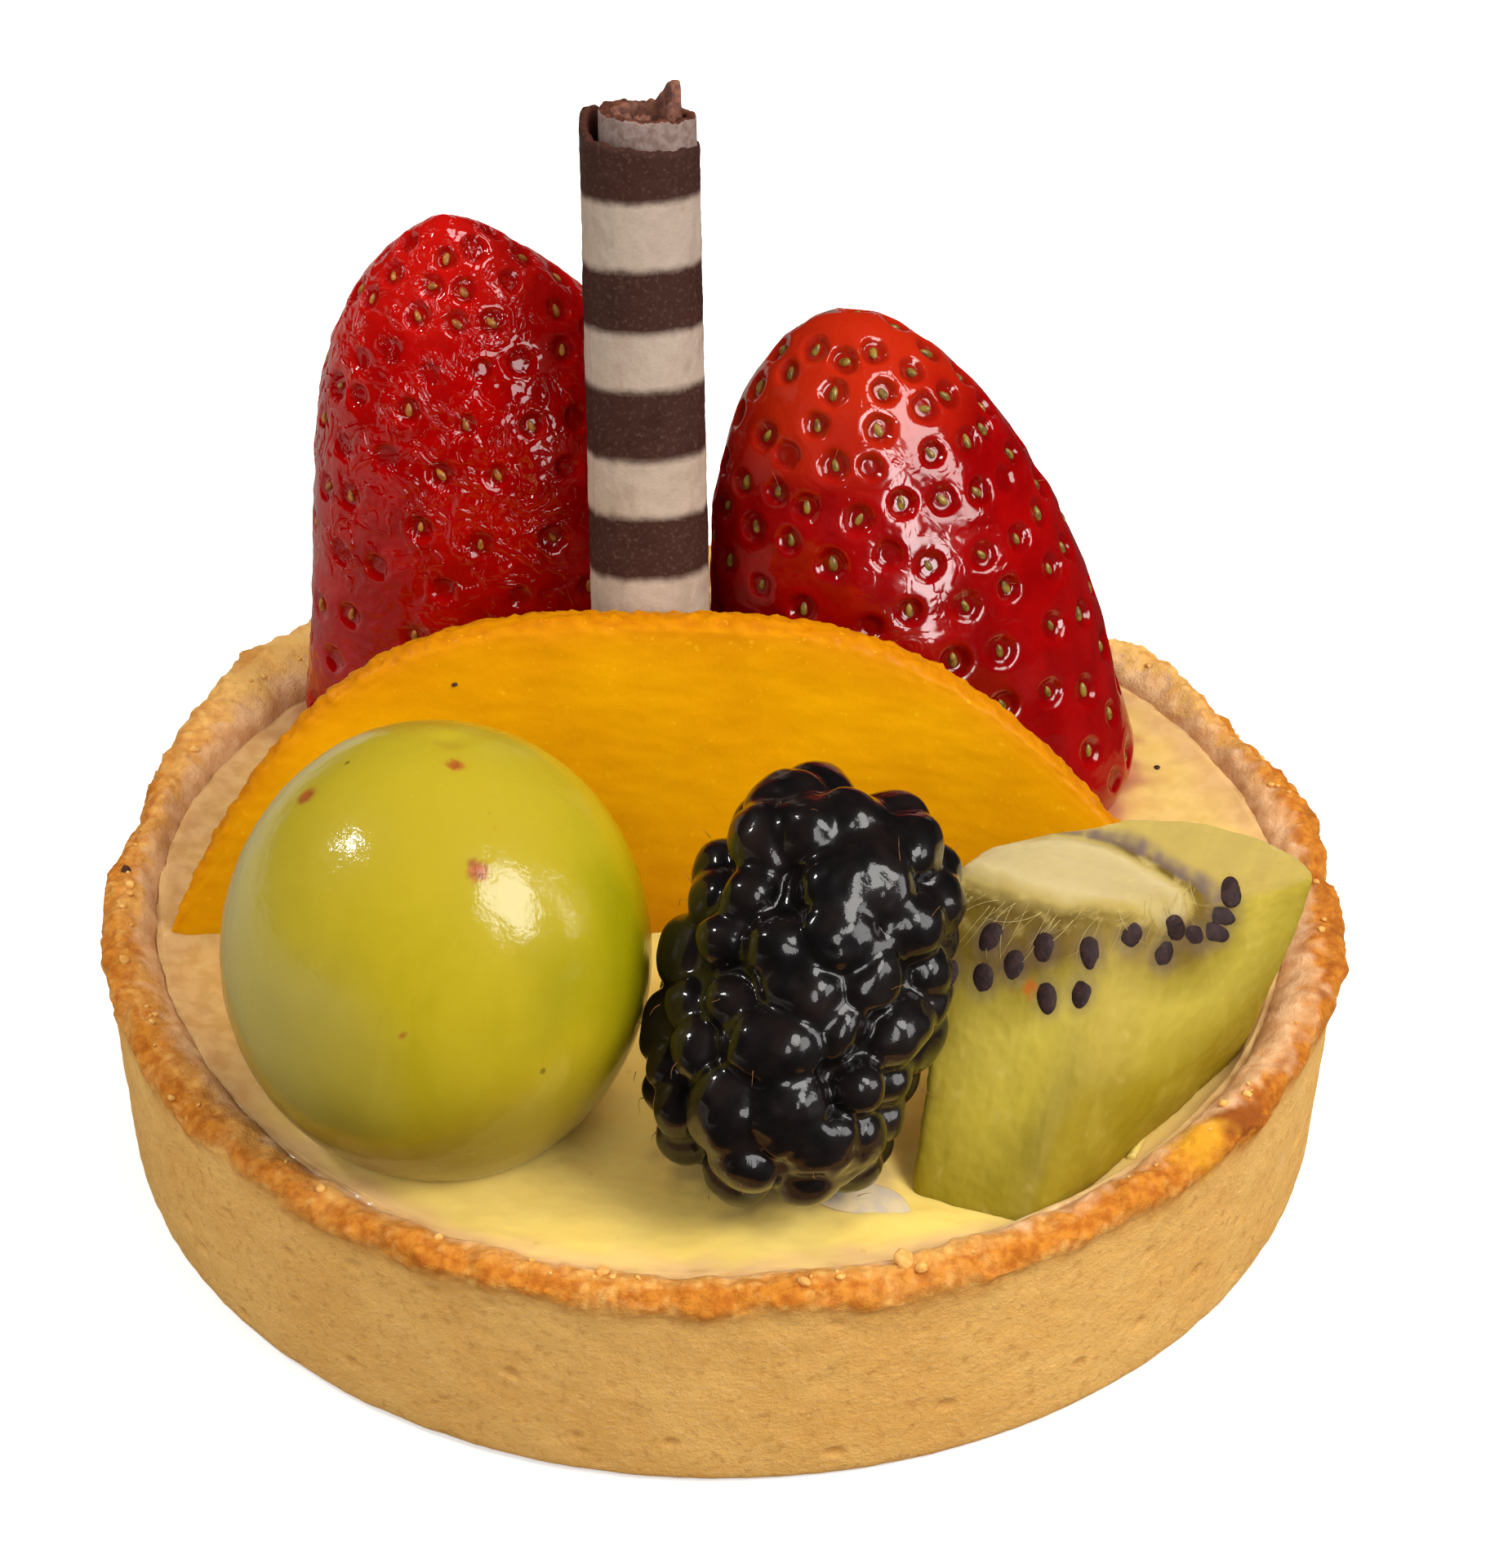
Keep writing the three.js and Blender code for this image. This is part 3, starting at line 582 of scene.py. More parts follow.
def peach_material():
    m = Shader(
        "peach_flesh", Roughness=0.6, Specular_IOR_Level=0.05,
        **scatter(0.2, (1.0, 0.5, 0.02), 1.4), **coat(0.06, 0.25),
    )
    fibres = m.noise(1.1, 4, 0.6, vector=m.stretched(0.9, 0.9, 0.2))
    colour = m.veiled((230, 163, 0), (222, 152, 0), m.noise(9.0, 3), 0.3, 0.7)
    colour = m.veiled(colour, (238, 172, 4), fibres, 0.5, 0.8, 0.3)
    # deep: a deeper orange, at the foot partly painted shade
    colour = m.tinted(colour, deep=(178, 94, 0))
    # The rind's colour, darker still on the top as painted shade
    rind = m.times(m.value("rind"), m.between(0.3, 0.7, m.noise(1.0, 4), 0.6, 1.0))
    colour = m.mix(rind, colour, (184, 108, 0))
    colour = m.veiled(colour, (244, 190, 30), m.noise(0.5, 2), 0.66, 0.74, 0.35)
    relief = m.bump(fibres, 0.1, 0.25, below=m.bump(m.noise(0.35, 3), 0.05, 0.5))
    return m.finish(Base_Color=colour, Normal=relief)


def grape_material():
    m = Shader(
        "grape_skin", Roughness=0.45, Specular_IOR_Level=0.15,
        **scatter(0.5, (1.0, 0.85, 0.15), 2.5), **coat(0.8, 0.06),
    )
    veins = m.noise(4.0, 4, 0.6, 0.5, vector=m.stretched(1, 1, 0.45))
    colour = m.veiled((174, 156, 16), (183, 164, 26), veins, 0.35, 0.7)
    # The darker olive low down is painted shade, and the pale bloom on the left is partly a painted
    # reflection
    colour = m.tinted(
        colour, green=(150, 140, 2), bloom=(164, 148, 68), olive=(108, 92, 4), crest=(170, 150, 28)
    )
    colour = m.veiled(colour, (184, 166, 62), m.cells(1.5), 0.11, 0.05, 0.2)
    freckles = m.cells(6.5, vector=m.stretched(1.1, 1.0, 0.9))
    colour = m.veiled(colour, (92, 74, 12), freckles, 0.045, 0.025, 0.7)
    colour = m.tinted(colour, spot=m.veiled((168, 90, 34), (142, 78, 20), m.noise(0.35, 3), 0.4, 0.6))
    relief = m.bump(m.noise(0.5, 3), 0.03, 0.5, below=m.bump(veins, 0.15, 0.25))
    wet = m.bump(m.noise(0.24, 3, 0.6), 0.03, 0.6, below=m.bump(m.noise(1.3, 3), 0.12, 0.6))
    return m.finish(Base_Color=colour, Normal=relief, Coat_Normal=wet)


def bramble_material():
    m = Shader("bramble_skin", Roughness=0.4, Specular_IOR_Level=0.1, **coat(1.0, 0.07, 1.38))
    colour = m.veiled((11, 8, 9), (24, 17, 16), m.noise(2.4, 3), 0.35, 0.7)
    colour = m.veiled(colour, (44, 30, 22), m.noise(4.5, 2), 0.6, 0.75, 0.4)
    relief, wet = m.bump(m.noise(0.5, 3), 0.05, 0.4), m.bump(m.noise(1.1, 4, 0.6, 0.5), 0.09, 0.4)
    return m.finish(Base_Color=colour, Normal=relief, Coat_Normal=wet)


def kiwi_material():
    m = Shader(
        "kiwi_flesh", Roughness=0.6, Specular_IOR_Level=0.12, **scatter(0.5, (1.0, 0.95, 0.35), 2.6)
    )
    reach = m.value("reach")
    # From the white core through the ring of seeds to the green outside, in shares of 22 mm
    colour = m.ramp(m.math("DIVIDE", m.strayed(reach, m.noise(2.0, 3), 1.3), 22.0), [
        (0.0, (174, 154, 104)), (0.08, (186, 167, 119)), (0.125, (168, 147, 84)),
        (0.165, (104, 82, 30)), (0.30, (104, 82, 24)), (0.38, (150, 132, 44)),
        (0.50, (184, 165, 66)), (0.74, (176, 157, 54)), (0.95, (146, 130, 36)),
    ])
    # crown also paints a highlight on the upright front edge
    colour = m.tinted(colour, crown=(170, 147, 78), outer=(146, 124, 10))
    spoke = {0: m.times(m.value("turn"), 6.0), 1: m.times(reach, 0.07), 2: m.times(m.value("along"), 0.9)}
    inputs = {"Vector": m.node("CombineXYZ", spoke), "Scale": 1.0, "Detail": 3.0, "Distortion": 0.2}
    fibre = m.node("TexNoise", inputs, output="Fac")
    streak = m.times(m.between(0.45, 0.7, fibre), m.between(4.0, 8.0, reach, 0.0, 0.12))
    colour = m.mix(streak, colour, (200, 178, 84))
    haze = m.times(m.between(0.5, 0.72, fibre), m.between(6.5, 3.0, reach, 0.0, 0.6))
    colour = m.mix(m.times(haze, m.between(2.4, 3.2, reach)), colour, (196, 172, 104))
    colour = m.veiled(colour, (212, 188, 110), m.noise(1.6, 4), 0.6, 0.8, 0.3)
    colour = m.tinted(colour, shadow=(106, 88, 86), rust=(190, 84, 16))
    relief = m.bump(fibre, 0.03, 0.3, below=m.bump(m.noise(0.5, 3), 0.04, 0.5))
    return m.finish(Base_Color=colour, Normal=relief)


def chocolate_material():
    m = Shader("striped_chocolate", Roughness=0.7, Specular_IOR_Level=0.12)
    up = m.strayed(m.value("along"), m.noise(1.2, 4, 0.65), 0.6)
    dark, pale, blur = (62, 36, 29), (179, 158, 140), 0.24
    stops = []
    for number, edge in enumerate(STRIPE_EDGES):
        below, above = (dark, pale) if number % 2 else (pale, dark)
        stops += [((edge - blur) / ROLL_LENGTH, below), ((edge + blur) / ROLL_LENGTH, above)]
    colour = m.ramp(m.math("DIVIDE", up, ROLL_LENGTH), stops)
    smudge = m.noise(2.6, 4, 0.6, vector=m.stretched(1, 1, 0.6))
    colour = m.veiled(colour, (214, 204, 196), smudge, 0.45, 0.75, 0.5, "MULTIPLY")
    colour = m.veiled(colour, (140, 112, 94), m.noise(0.3, 3, 0.6), 0.5, 0.75, 0.2)
    cool = m.between(48.0, 28.0, m.value("along"), 1.0, 0.0)
    colour = m.mix(m.times(cool, 0.6), colour, (236, 244, 255), "MULTIPLY")
    colour = m.tinted(colour, inside=(74, 40, 30), rust=(132, 76, 40))
    relief = m.bump(m.noise(0.2, 3, 0.65), 0.05, 0.8, below=m.bump(m.noise(1.3, 3), 0.1, 0.4))
    return m.finish(Base_Color=colour, Normal=relief)


def pale_chocolate_material():
    m = Shader("pale_chocolate", Roughness=0.7, Specular_IOR_Level=0.12)
    pale = m.veiled((140, 121, 115), (116, 94, 86), m.noise(0.5, 4, 0.6), 0.35, 0.7)
    brown = m.veiled((76, 42, 32), (100, 56, 38), m.noise(0.7, 4), 0.4, 0.65)
    colour = m.veiled(pale, brown, m.strayed(m.value("inside"), m.noise(0.4, 3), 1.2))
    return m.finish(Base_Color=colour, Normal=m.bump(m.noise(0.25, 3, 0.65), 0.07, 0.8))


def glaze_material():
    m = Shader(
        "clear_glaze", Roughness=0.4, Specular_IOR_Level=0.2,
        **scatter(0.3, (1.0, 0.6, 0.5), 1.0), **coat(1.0, 0.08),
    )
    colour = m.veiled((196, 180, 156), (214, 192, 150), m.noise(1.2, 3))
    return m.finish(Base_Color=colour, Coat_Normal=m.bump(m.noise(1.0, 3), 0.1, 0.5))


# ---------------------------------------------------------------- shell

# Radius, height, how far it follows the crags and how far the inner edge's wander
SHELL_PROFILE = [
    (39.2, 0, 0, 0), (39.95, 0.3, 0, 0), (40.28, 1.0, 0, 0), (40.85, 8.5, 0.1, 0),
    (41.32, 14.6, 0.3, 0), (41.9, 16.1, 1, 0), (41.1, 17.0, 1, 0.2), (39.85, 17.25, 0.8, 0.5),
    (38.3, 16.4, 0.7, 1), (37.85, 14.9, 0.2, 1), (37.2, SHELL_FLOOR, 0, 0),
]
SHELL_ROWS, SHELL_COLUMNS = 120, 1100
# How far the shell's skin stays inside the solid's box
SHELL_INSET = 0.02


def dent_depth(turn):
    degrees = np.degrees(turn)
    away = [np.abs((degrees - middle + 540) % 360 - 180) / width for middle, width, _ in RIM_DENTS]
    return sum(deep * np.maximum(0, 1 - a) for a, (_, _, deep) in zip(away, RIM_DENTS))


def inner_wander(turn):
    return 0.6 * noise(circle(turn, 1.3, 4))


def shell_values(turn, height, wander, base, rings, lumps, loose):
    """How brown the crust is, with loose crumbs paler and the back of the rim paler as painted light, and
    where it is smeared with cream and yolk.
    """
    solid = solid_tree("tart_shell")
    outside = smoothstep(12.0 + 1.4 * noise(base / 5.0), 17.2, height) ** 2
    brown = np.where(wander > 0.3, 0.85 - 0.3 * wander + 0.25 * lumps, outside * (0.95 + 0.35 * lumps))
    brown += 0.1 * smoothstep(1.5, 0, height) - 0.3 * loose
    # The rim is browner on the right, and paler at the back as painted light, where more light falls on it
    right, back = smoothstep(0.7, 1, np.cos(turn + 0.3)), smoothstep(0.3, 0.9, np.sin(turn))
    brown += outside * (0.45 * right - 0.85 * back)
    brown += 1.1 * smoothstep(2.0, 1.1, norm(rings - seen_at(solid, RIM_BLOB)[0]))
    away = norm((rings - seen_at(solid, RIM_SMEAR)[0]) * [0.8, 1, 1])
    yolk = 0.6 * smoothstep(3.0, 0.6, away + 1.1 * noise(base / 1.2 + 70))
    # Cream is smeared raggedly up the inside, most beside the kiwi
    cream = wander + 0.22 * noise(base / 2.4 + 50) + 0.2 * noise(base / 0.9 + 55)
    cream += 0.15 * smoothstep(0.3, 0.9, np.cos(turn)) + 0.36 * bell(turn - 2 * np.pi + 0.38, 0.26)
    return {"brown": brown, "yolk": yolk, "cream": 0.85 * smoothstep(0.55, 0.95, cream)}


def make_shell():
    profile = evenly(rounded(SHELL_PROFILE, 3), SHELL_ROWS)
    turn = turns(SHELL_COLUMNS) + np.zeros((SHELL_ROWS, 1))
    radius, height, crag, wander = (profile[:, k:k + 1] for k in range(4))
    base = circle(turn, radius, height)
    lumps = rough(base / 4.0, 3)
    crumbly = smoothstep(0.25, 0.9, crag) * (1 - 0.6 * smoothstep(0.6, 1, wander))
    crumbs = 0.6 - grains(base / 1.0 + 0.3 * rough(base / 1.5, 2)[..., None])
    bits = rough(base / 0.8 + 40, 3)
    pit = smoothstep(0.2, 0.08, grains(base * [0.24, 0.24, 0.34] + 90)) * (1 - crag)
    dent = crag * dent_depth(turn)
    swell = 0.35 * crag * lumps + crumbly * (0.09 * crumbs + 0.14 * bits)
    swell += 0.07 * rough(base / 2.2 + 11, 4) - 0.22 * pit
    reach = radius + swell + wander * inner_wander(turn) - (1 - wander) * dent
    top = crag * (0.5 * rough(base / 4.5 + 30, 3) + 0.2 * rough(base / 1.7 + 60, 3))
    top += crumbly * (0.07 * crumbs + 0.12 * bits)
    rings = circle(turn, reach, height + top - 0.5 * dent)
    rings[0, :, 2] = 0
    under = circle(turn[0], 0.5 * BASE_RADIUS)
    floor = under * 0.9 + [0, 0, SHELL_FLOOR]
    points, faces = loft(np.vstack([under[None], rings, floor[None]]), [0, 0, 0], [0, 0, SHELL_FLOOR])
    low, high = box_of("tart_shell")
    points = np.clip(points, low - SHIFT + SHELL_INSET, high - SHIFT - SHELL_INSET)

    loose = crumbly * smoothstep(0.1, 0.5, crumbs)
    values = {"pit": pit, **shell_values(turn, height, wander, base, rings, lumps, loose)}
    values = {key: with_ends(np.pad(rows, ((1, 1), (0, 0)))) for key, rows in values.items()}
    make_piece("tart_shell_crust", points, faces, crust_material(), "crust", "tart_shell", values)
    return tree_of(points, faces)


# ---------------------------------------------------------------- strawberries

BERRY_COLUMNS, BERRY_ROWS = 400, 350
# The seeds' least spacing and half sizes, and how many of them carry a hair
SEED_SPACING, BERRY_SEED, HAIRY = 2.1, np.array([0.34, 0.52, 0.3]), 0.2
# The four colours of a skin are ripe, bright, in the pits, where a darker red paints shade, and at the tip
RED = (142, 0, 0), (162, 1, 1), (118, 0, 0), (178, 14, 8)
ORANGE_TIPPED = (128, 0, 1), (148, 2, 3), (106, 0, 1), (174, 34, 8)
GOLD = (176, 118, 40), (132, 70, 20)
OLIVE = (150, 122, 44), (98, 74, 22)


def berry_skin(berry, share, turn):
    """A point of the berry's skin. share runs from the cut shoulder, 0, to the tip, 1."""
    shrink = np.where(share < berry["shoulder"], 0.18 * (1 - share / berry["shoulder"]) ** 2, 0)
    flare = berry["flare"] * np.maximum(0, 1 - share / 0.3) ** 2
    reach = (1 - share ** berry["taper"]) ** berry["bluntness"] * (1 - shrink) * (1 + flare)
    reach = reach * (1 + 0.035 * noise(circle(turn, 1.2, 2.5 * share + berry["height"])))
    skin = circle(turn, reach, share) * [berry["width"] / 2, berry["depth"] / 2, berry["height"]]
    skin[..., 0] += berry["tip"][0] * share ** berry["bend"]
    skin[..., 1] += berry["tip"][1] * share
    return skin


def berry_share(part):
    """How far up a row is, crowding towards the tip."""
    return 0.985 * np.sin(np.pi / 2 * np.clip(part, 0, 1) ** 1.06)


def seed_places(berry, random):
    """Where the seeds are: every other row is turned by half a step."""
    points = np.empty((0, 3))
    for row in range(1, berry["rows"]):
        for column in range(berry["columns"]):
            part = (row + random.uniform(-0.2, 0.2)) / (berry["rows"] - 0.13)
            turn = 2 * np.pi * (column + 0.5 * (row % 2) + random.uniform(-0.2, 0.2)) / berry["columns"]
            point = berry_skin(berry, berry_share(np.array(part)), np.array(turn))
            if np.all(norm(points - point) > SEED_SPACING):
                points = np.vstack([points, point])
    return points


def pitted(berry, points, normals, seeds, random):
    """The berry's points with a pit round each seed, and how deep in one each is."""
    nearest, which = np.empty(len(points)), np.empty(len(points), int)
    for some in np.array_split(np.arange(len(points)), 8):
        gaps = norm(points[some, None] - seeds)
        nearest[some], which[some] = gaps.min(1), gaps.argmin(1)
    size = berry["pit"] * random.uniform(0.85, 1.15, len(seeds))[which]
    deep = berry["pit_depth"] * random.uniform(0.6, 1.2, len(seeds))[which]
    rim = (nearest + 0.10 * noise(points / 0.8)) / size
    pit = smoothstep(1.15, 0.6, rim)
    # Near the cut shoulder there are no pits
    skin = smoothstep(0.0, 0.05, points[:, 2] / berry["height"])
    lift = skin * (0.15 * deep * smoothstep(0.9, 1.5, rim) - deep * pit) - 0.02
    lift += 0.13 * noise(points / 3.4 + 5) + berry["crinkle"] * rough(points / 1.0 + 9, 2)
    return points + normals * lift[:, None], pit


def make_seeds(name, berry, skin, places, foot, kernels, seedless, random):
    """A seed in each pit, apart from the share of the pits that is left empty. Gives a few dry hairs."""
    tip = np.array([*berry["tip"], berry["height"]])
    parts, hairs = [], []
    for place in places:
        spot, normal = (np.array(found) for found in skin.find_nearest(Vector(place))[:2])
        bare = random.uniform() < seedless
        if spot[2] < 0.6 or bare:
            continue
        out = place - [0.6 * spot[0], 0.6 * spot[1], spot[2]]
        axes = frame_on(normal + 0.8 * out / np.linalg.norm(out), tip - spot + random.normal(size=3) * 5)
        size = berry["kernel"] * random.uniform(0.85, 1.15)
        shape, faces = pebble(BERRY_SEED * size, point=0.35)
        parts.append((shape @ axes + spot + normal * 0.02 + foot, faces))
        if random.uniform() < HAIRY:
            start = spot + axes[1] * 0.3 + foot
            hairs.append(hair(start, normal + 0.7 * random.normal(size=3), 0.9, random))
    make_piece(name, *joined(parts), seed_material(name, *kernels), "strawberry")
    return hairs


def make_strawberry(node, berry, seed, flesh, kernels, seedless):
    random = np.random.default_rng(seed)
    part = np.linspace(0, 0.995, BERRY_ROWS)[:, None]
    foot = np.array([*berry["foot"], CUSTARD_TOP - berry["sunk"]])
    top = [*berry["tip"], berry["height"]]
    points, faces = loft(berry_skin(berry, berry_share(part), turns(BERRY_COLUMNS)), [0, 0, 0], top)
    seeds = seed_places(berry, random)
    points, pit = pitted(berry, points, normals_of(points, faces), seeds, random)
    side = points / [berry["width"] / 2, berry["depth"] / 2, berry["height"]]
    tip = smoothstep(0.76, 1.0, side[:, 2] - 0.12 * side[:, 0] + 0.08 * noise(points / 4.0))
    wrinkle = 0.05 + 0.95 * smoothstep(0.3, 0.7, side[:, 2] + 0.25 * noise(points / 6.0 + 12))
    material = strawberry_material(node + "_skin", berry["satin"], berry["wet"], *flesh)
    values = {"pit": pit, "tip": tip, "wrinkle": wrinkle}
    make_piece(node + "_flesh", points + foot, faces, material, "strawberry", node, values)
    skin = tree_of(points, faces)
    hairs = make_seeds(node + "_seeds", berry, skin, seeds, foot, kernels, seedless, random)
    return tree_of(points + foot, faces), hairs


# ---------------------------------------------------------------- peach slice

PEACH_SECTIONS, PEACH_POINTS = 340, 220


def peach_section(share, height):
    """The slice's outline across, from its face at 0 to its rind. share is how far out it is, 0 to 1."""
    base = -PEACH["sunk"]
    thin = PEACH["edge"] * min(1, (1 - share) * 12 + 0.15)
    thick = thin + (PEACH["skin"] - thin) * height / PEACH["rise"]
    corner = min(0.9, thick / 3, (height - base) / 3)
    outline = rounded([
        (0, base), (thin, base), ((thin + thick) / 2, (base + height) / 2),
        (thick, height - 1.6 * corner), (thick - corner, height - 0.4 * corner),
        (thick / 2, height), (corner, height), (0, height - corner), (0, (base + height) / 2), (0, base),
    ], 2)
    return evenly(outline, PEACH_POINTS + 1)[:-1].T


def make_peach():
    half = PEACH["span"] / 2
    rings, rind, deep = [], [], []
    for i in range(1, PEACH_SECTIONS):
        x = -half * math.cos(math.pi * i / PEACH_SECTIONS)
        share = abs(x) / half
        height = PEACH["rise"] * (1 - share ** PEACH["arch"]) ** PEACH["slope"]
        y, z = peach_section(share, height)
        rings.append(np.stack([x - PEACH["sway"] * np.maximum(0, z), y, z], -1))
        down, behind = height - z, smoothstep(0.1, 0.8, y)
        # The rind is darker along the top, painted shade where the top faces up into more light
        rind.append(0.45 * smoothstep(1.9, 0.1, down) + 0.55 * behind * (down < 1.8))
        # deep is a deeper orange at the foot, partly the fruit's own colour and partly painted shade beside
        # the bramble, and at the crest
        foot, crest = smoothstep(6, 0, z) * smoothstep(-10, 8, x), smoothstep(0.7, 1, z / height)
        deep.append(0.55 * foot + 0.35 * crest)
    points, faces = loft(np.array(rings), [-half, 0.1, -0.45], [half, 0.1, -0.45])
    rind, deep = with_ends(rind), with_ends(deep)
    lift = 0.10 * noise(points / 6.0) + 0.045 * rough(points * [0.35, 0.9, 0.9] / 1.1, 3)
    lift += rind * (0.22 * rough(points / 0.8, 2) + 0.18 * (0.5 - grains(points / 0.45)))
    points = points + normals_of(points, faces) * lift[:, None]
    points = turned_about(points, back=PEACH["lean"]) + [*PEACH["middle"], CUSTARD_TOP]
    values = {"rind": rind, "deep": np.clip(deep + 0.12 * noise(points / 5.0), 0, 1)}
    make_piece("peach_flesh", points, faces, peach_material(), "peach", "peach_slice", values)
    return tree_of(points, faces)


# ---------------------------------------------------------------- grape

GRAPE_ROWS, GRAPE_COLUMNS = 150, 220


def make_grape():
    angle = np.pi * (np.arange(1, GRAPE_ROWS) / GRAPE_ROWS - 0.5)[:, None]
    side, faces = loft(circle(turns(GRAPE_COLUMNS), np.cos(angle), np.sin(angle)), [0, 0, -1], [0, 0, 1])
    lumps = 1 + 0.008 * noise(side * 1.6 + 3) + 0.002 * rough(side * 6, 2)
    half = np.array([GRAPE["width"], GRAPE["width"], GRAPE["length"]]) / 2
    points = side * half * lumps[:, None]
    # The navel at the top, where the flower was
    navel = norm(points - [1.2, 2.6, half[2]])
    points[:, 2] -= 0.25 * smoothstep(1.6, 0.2, navel)
    points += [*GRAPE["foot"], CUSTARD_TOP + half[2] - GRAPE["sunk"]]

    warp = 0.25 * noise(side * 2.2 + 8)
    green = smoothstep(0.5, 0.95, side @ [0.88, -0.10, 0.12] + warp)
    # Darker olive low down is painted shade, under light that comes from above
    olive = smoothstep(0.1, -0.75, side[:, 2] + 0.6 * warp)
    # Paler on the left is the skin's bloom with a painted sheen, the reflection of the bright floor on that
    # side
    bloom = 0.8 * smoothstep(0.4, 0.9, side @ [-0.85, -0.35, -0.1] + 0.6 * warp) * (1 - 0.7 * olive)
    crest = smoothstep(0.3, 0.95, side[:, 2] + 0.5 * warp) * (1 - green)
    spot = patches(GRAPE_SPOTS, points, tree_of(points, faces), 0.22 * noise(points / 0.5))
    values = {"spot": spot, "green": green, "bloom": bloom, "olive": olive, "crest": crest}
    make_piece("grape_skin", points, faces, grape_material(), "grape", "grape", values)
    return tree_of(points, faces)


# ---------------------------------------------------------------- bramble berry

BRAMBLE_CORE, BRAMBLE_VOXEL = np.array([7.5, 12.5, 7.5]), 0.2
# Rounds of smoothing after which glaze bridges the crevices, and after which it fills them
BRIDGED, FILLED = 27, 220


def drupelet_places():
    """Middles of the drupelets on a spiral round the berry, and the way out of it at each."""
    half = BRAMBLE["length"] / 2 - BRAMBLE["radius"]
    radius = BRAMBLE["width"] / 2 - BRAMBLE["radius"]
    number = np.arange(BRAMBLE["drupelets"])
    along = 1 - 2 * (number + 0.5) / BRAMBLE["drupelets"]
    reach = radius * (1 - np.abs(along) ** BRAMBLE["fullness"]) ** (1 / BRAMBLE["fullness"])
    reach = reach + 0.5 * smoothstep(0, -0.8, along)
    middle = circle(number * np.pi * (3 - math.sqrt(5)), reach, half * along)
    outward = middle * [1, 1, radius / half]
    return middle, outward / norm(outward)[:, None]


def placed_berry(points):
    return turned_about(points, BRAMBLE["lean_back"], BRAMBLE["lean_right"]) + BRAMBLE["centre"]


def remeshed(points, faces, voxel):
    """One even skin round overlapping shapes."""
    mesh = new_mesh("scratch", points, faces)
    thing = add_object("scratch", mesh)
    modifier = thing.modifiers.new("remesh", "REMESH")
    modifier.mode, modifier.voxel_size, modifier.adaptivity = "VOXEL", voxel, 0
    result = thing.evaluated_get(bpy.context.evaluated_depsgraph_get()).to_mesh()
    skin = read_points(result, "co").astype(float), faces_of(result)
    thing.to_mesh_clear()
    bpy.data.objects.remove(thing)
    bpy.data.meshes.remove(mesh)
    return skin


def neighbours(count, faces):
    """Every point's links to the next points round its faces, and how many it has."""
    edges = np.concatenate([np.stack([face, np.roll(face, -1)], 1) for face in np.array(faces)])
    edges = np.vstack([edges, edges[:, ::-1]])
    return edges, np.bincount(edges[:, 0], minlength=count)[:, None]


def smoothed(points, links, share):
    """Points drawn by a share towards the average of their neighbours."""
    (near, far), counts = links[0].T, links[1]
    sums = [np.bincount(near, points[far, k], minlength=len(points)) for k in range(3)]
    return (1 - share) * points + share * (np.stack(sums, -1) / counts)


def drupelets(middles, outwards, random):
    """One skin over uneven drupelets and the core under them."""
    parts = []
    for middle, outward in zip(middles, outwards):
        size = BRAMBLE["radius"] * (1 + BRAMBLE["unevenness"] * random.uniform(-1, 1))
        axes = frame_on(outward, random.normal(size=3))
        shape, faces = pebble(np.array([1.0, random.uniform(1.0, 1.25), 1.0]) * size, rows=22, columns=32)
        shape = shape * (1 + 0.09 * noise(shape / 2.2 + random.uniform(0, 50)))[:, None]
        aside = axes[0] * random.uniform(-0.75, 0.75) + axes[1] * random.uniform(-0.75, 0.75)
        parts.append((shape @ axes + middle + aside + outward * random.uniform(-0.3, 0.4), faces))
    core, core_faces = pebble(BRAMBLE_CORE, rows=24, columns=32)
    parts.append((core[:, [0, 2, 1]] * [1, -1, 1], core_faces))
    return remeshed(*joined(parts), BRAMBLE_VOXEL)


def glazed(points, faces):
    """The berry's points with glaze, which bridges the crevices and fills them where it is thick."""
    normals, links = normals_of(points, faces), neighbours(len(points), faces)
    where = placed_berry(points)
    wet = patches(BRAMBLE_GLAZE, where, tree_of(where, faces), 0.9 * noise(points / 1.8))
    filled = points
    for step in range(FILLED):
        if step == BRIDGED:
            bridged = filled
        filled = smoothed(filled, links, 0.6)
    thin = np.maximum(0, ((bridged - points) * normals).sum(1))
    sheet = filled + 0.55 * normals_of(filled, faces)
    points = points + normals * (0.95 * thin)[:, None]
    points = points + (sheet - points) * (0.85 * wet)[:, None]
    ripples = 0.12 * noise(points / 2.0 + 60) + 0.07 * (0.3 + wet) * noise(points / 0.9 + 66)
    points = points + normals * ripples[:, None]
    for _ in range(3):
        points = smoothed(points, links, 0.4)
    return points


def make_bramble():
    random = np.random.default_rng(5)
    middles, outwards = drupelet_places()
    points, faces = drupelets(middles, outwards, random)
    points = placed_berry(glazed(points, faces))
    make_piece("bramble_berry_flesh", points, faces, bramble_material(), "bramble", "bramble_berry")
    hairs = []
    for middle, outward in zip(middles, outwards):
        if random.uniform() < 0.5:
            start = placed_berry(middle + outward * (BRAMBLE["radius"] + 0.1))
            aim = placed_berry(middle + outward) - placed_berry(middle) + 0.5 * random.normal(size=3)
            hairs.append(hair(start, aim, 1.0, random))
    return tree_of(points, faces), hairs


# ---------------------------------------------------------------- kiwi chunk

KIWI_STEPS, KIWI_SOFTNESS, KIWI_UPRIGHT_SOFTNESS = 150, 18, 15
KIWI_SEED = np.array([0.82, 1.14, 0.3])
FIBRES, FIBRE_POINTS = 46, 12


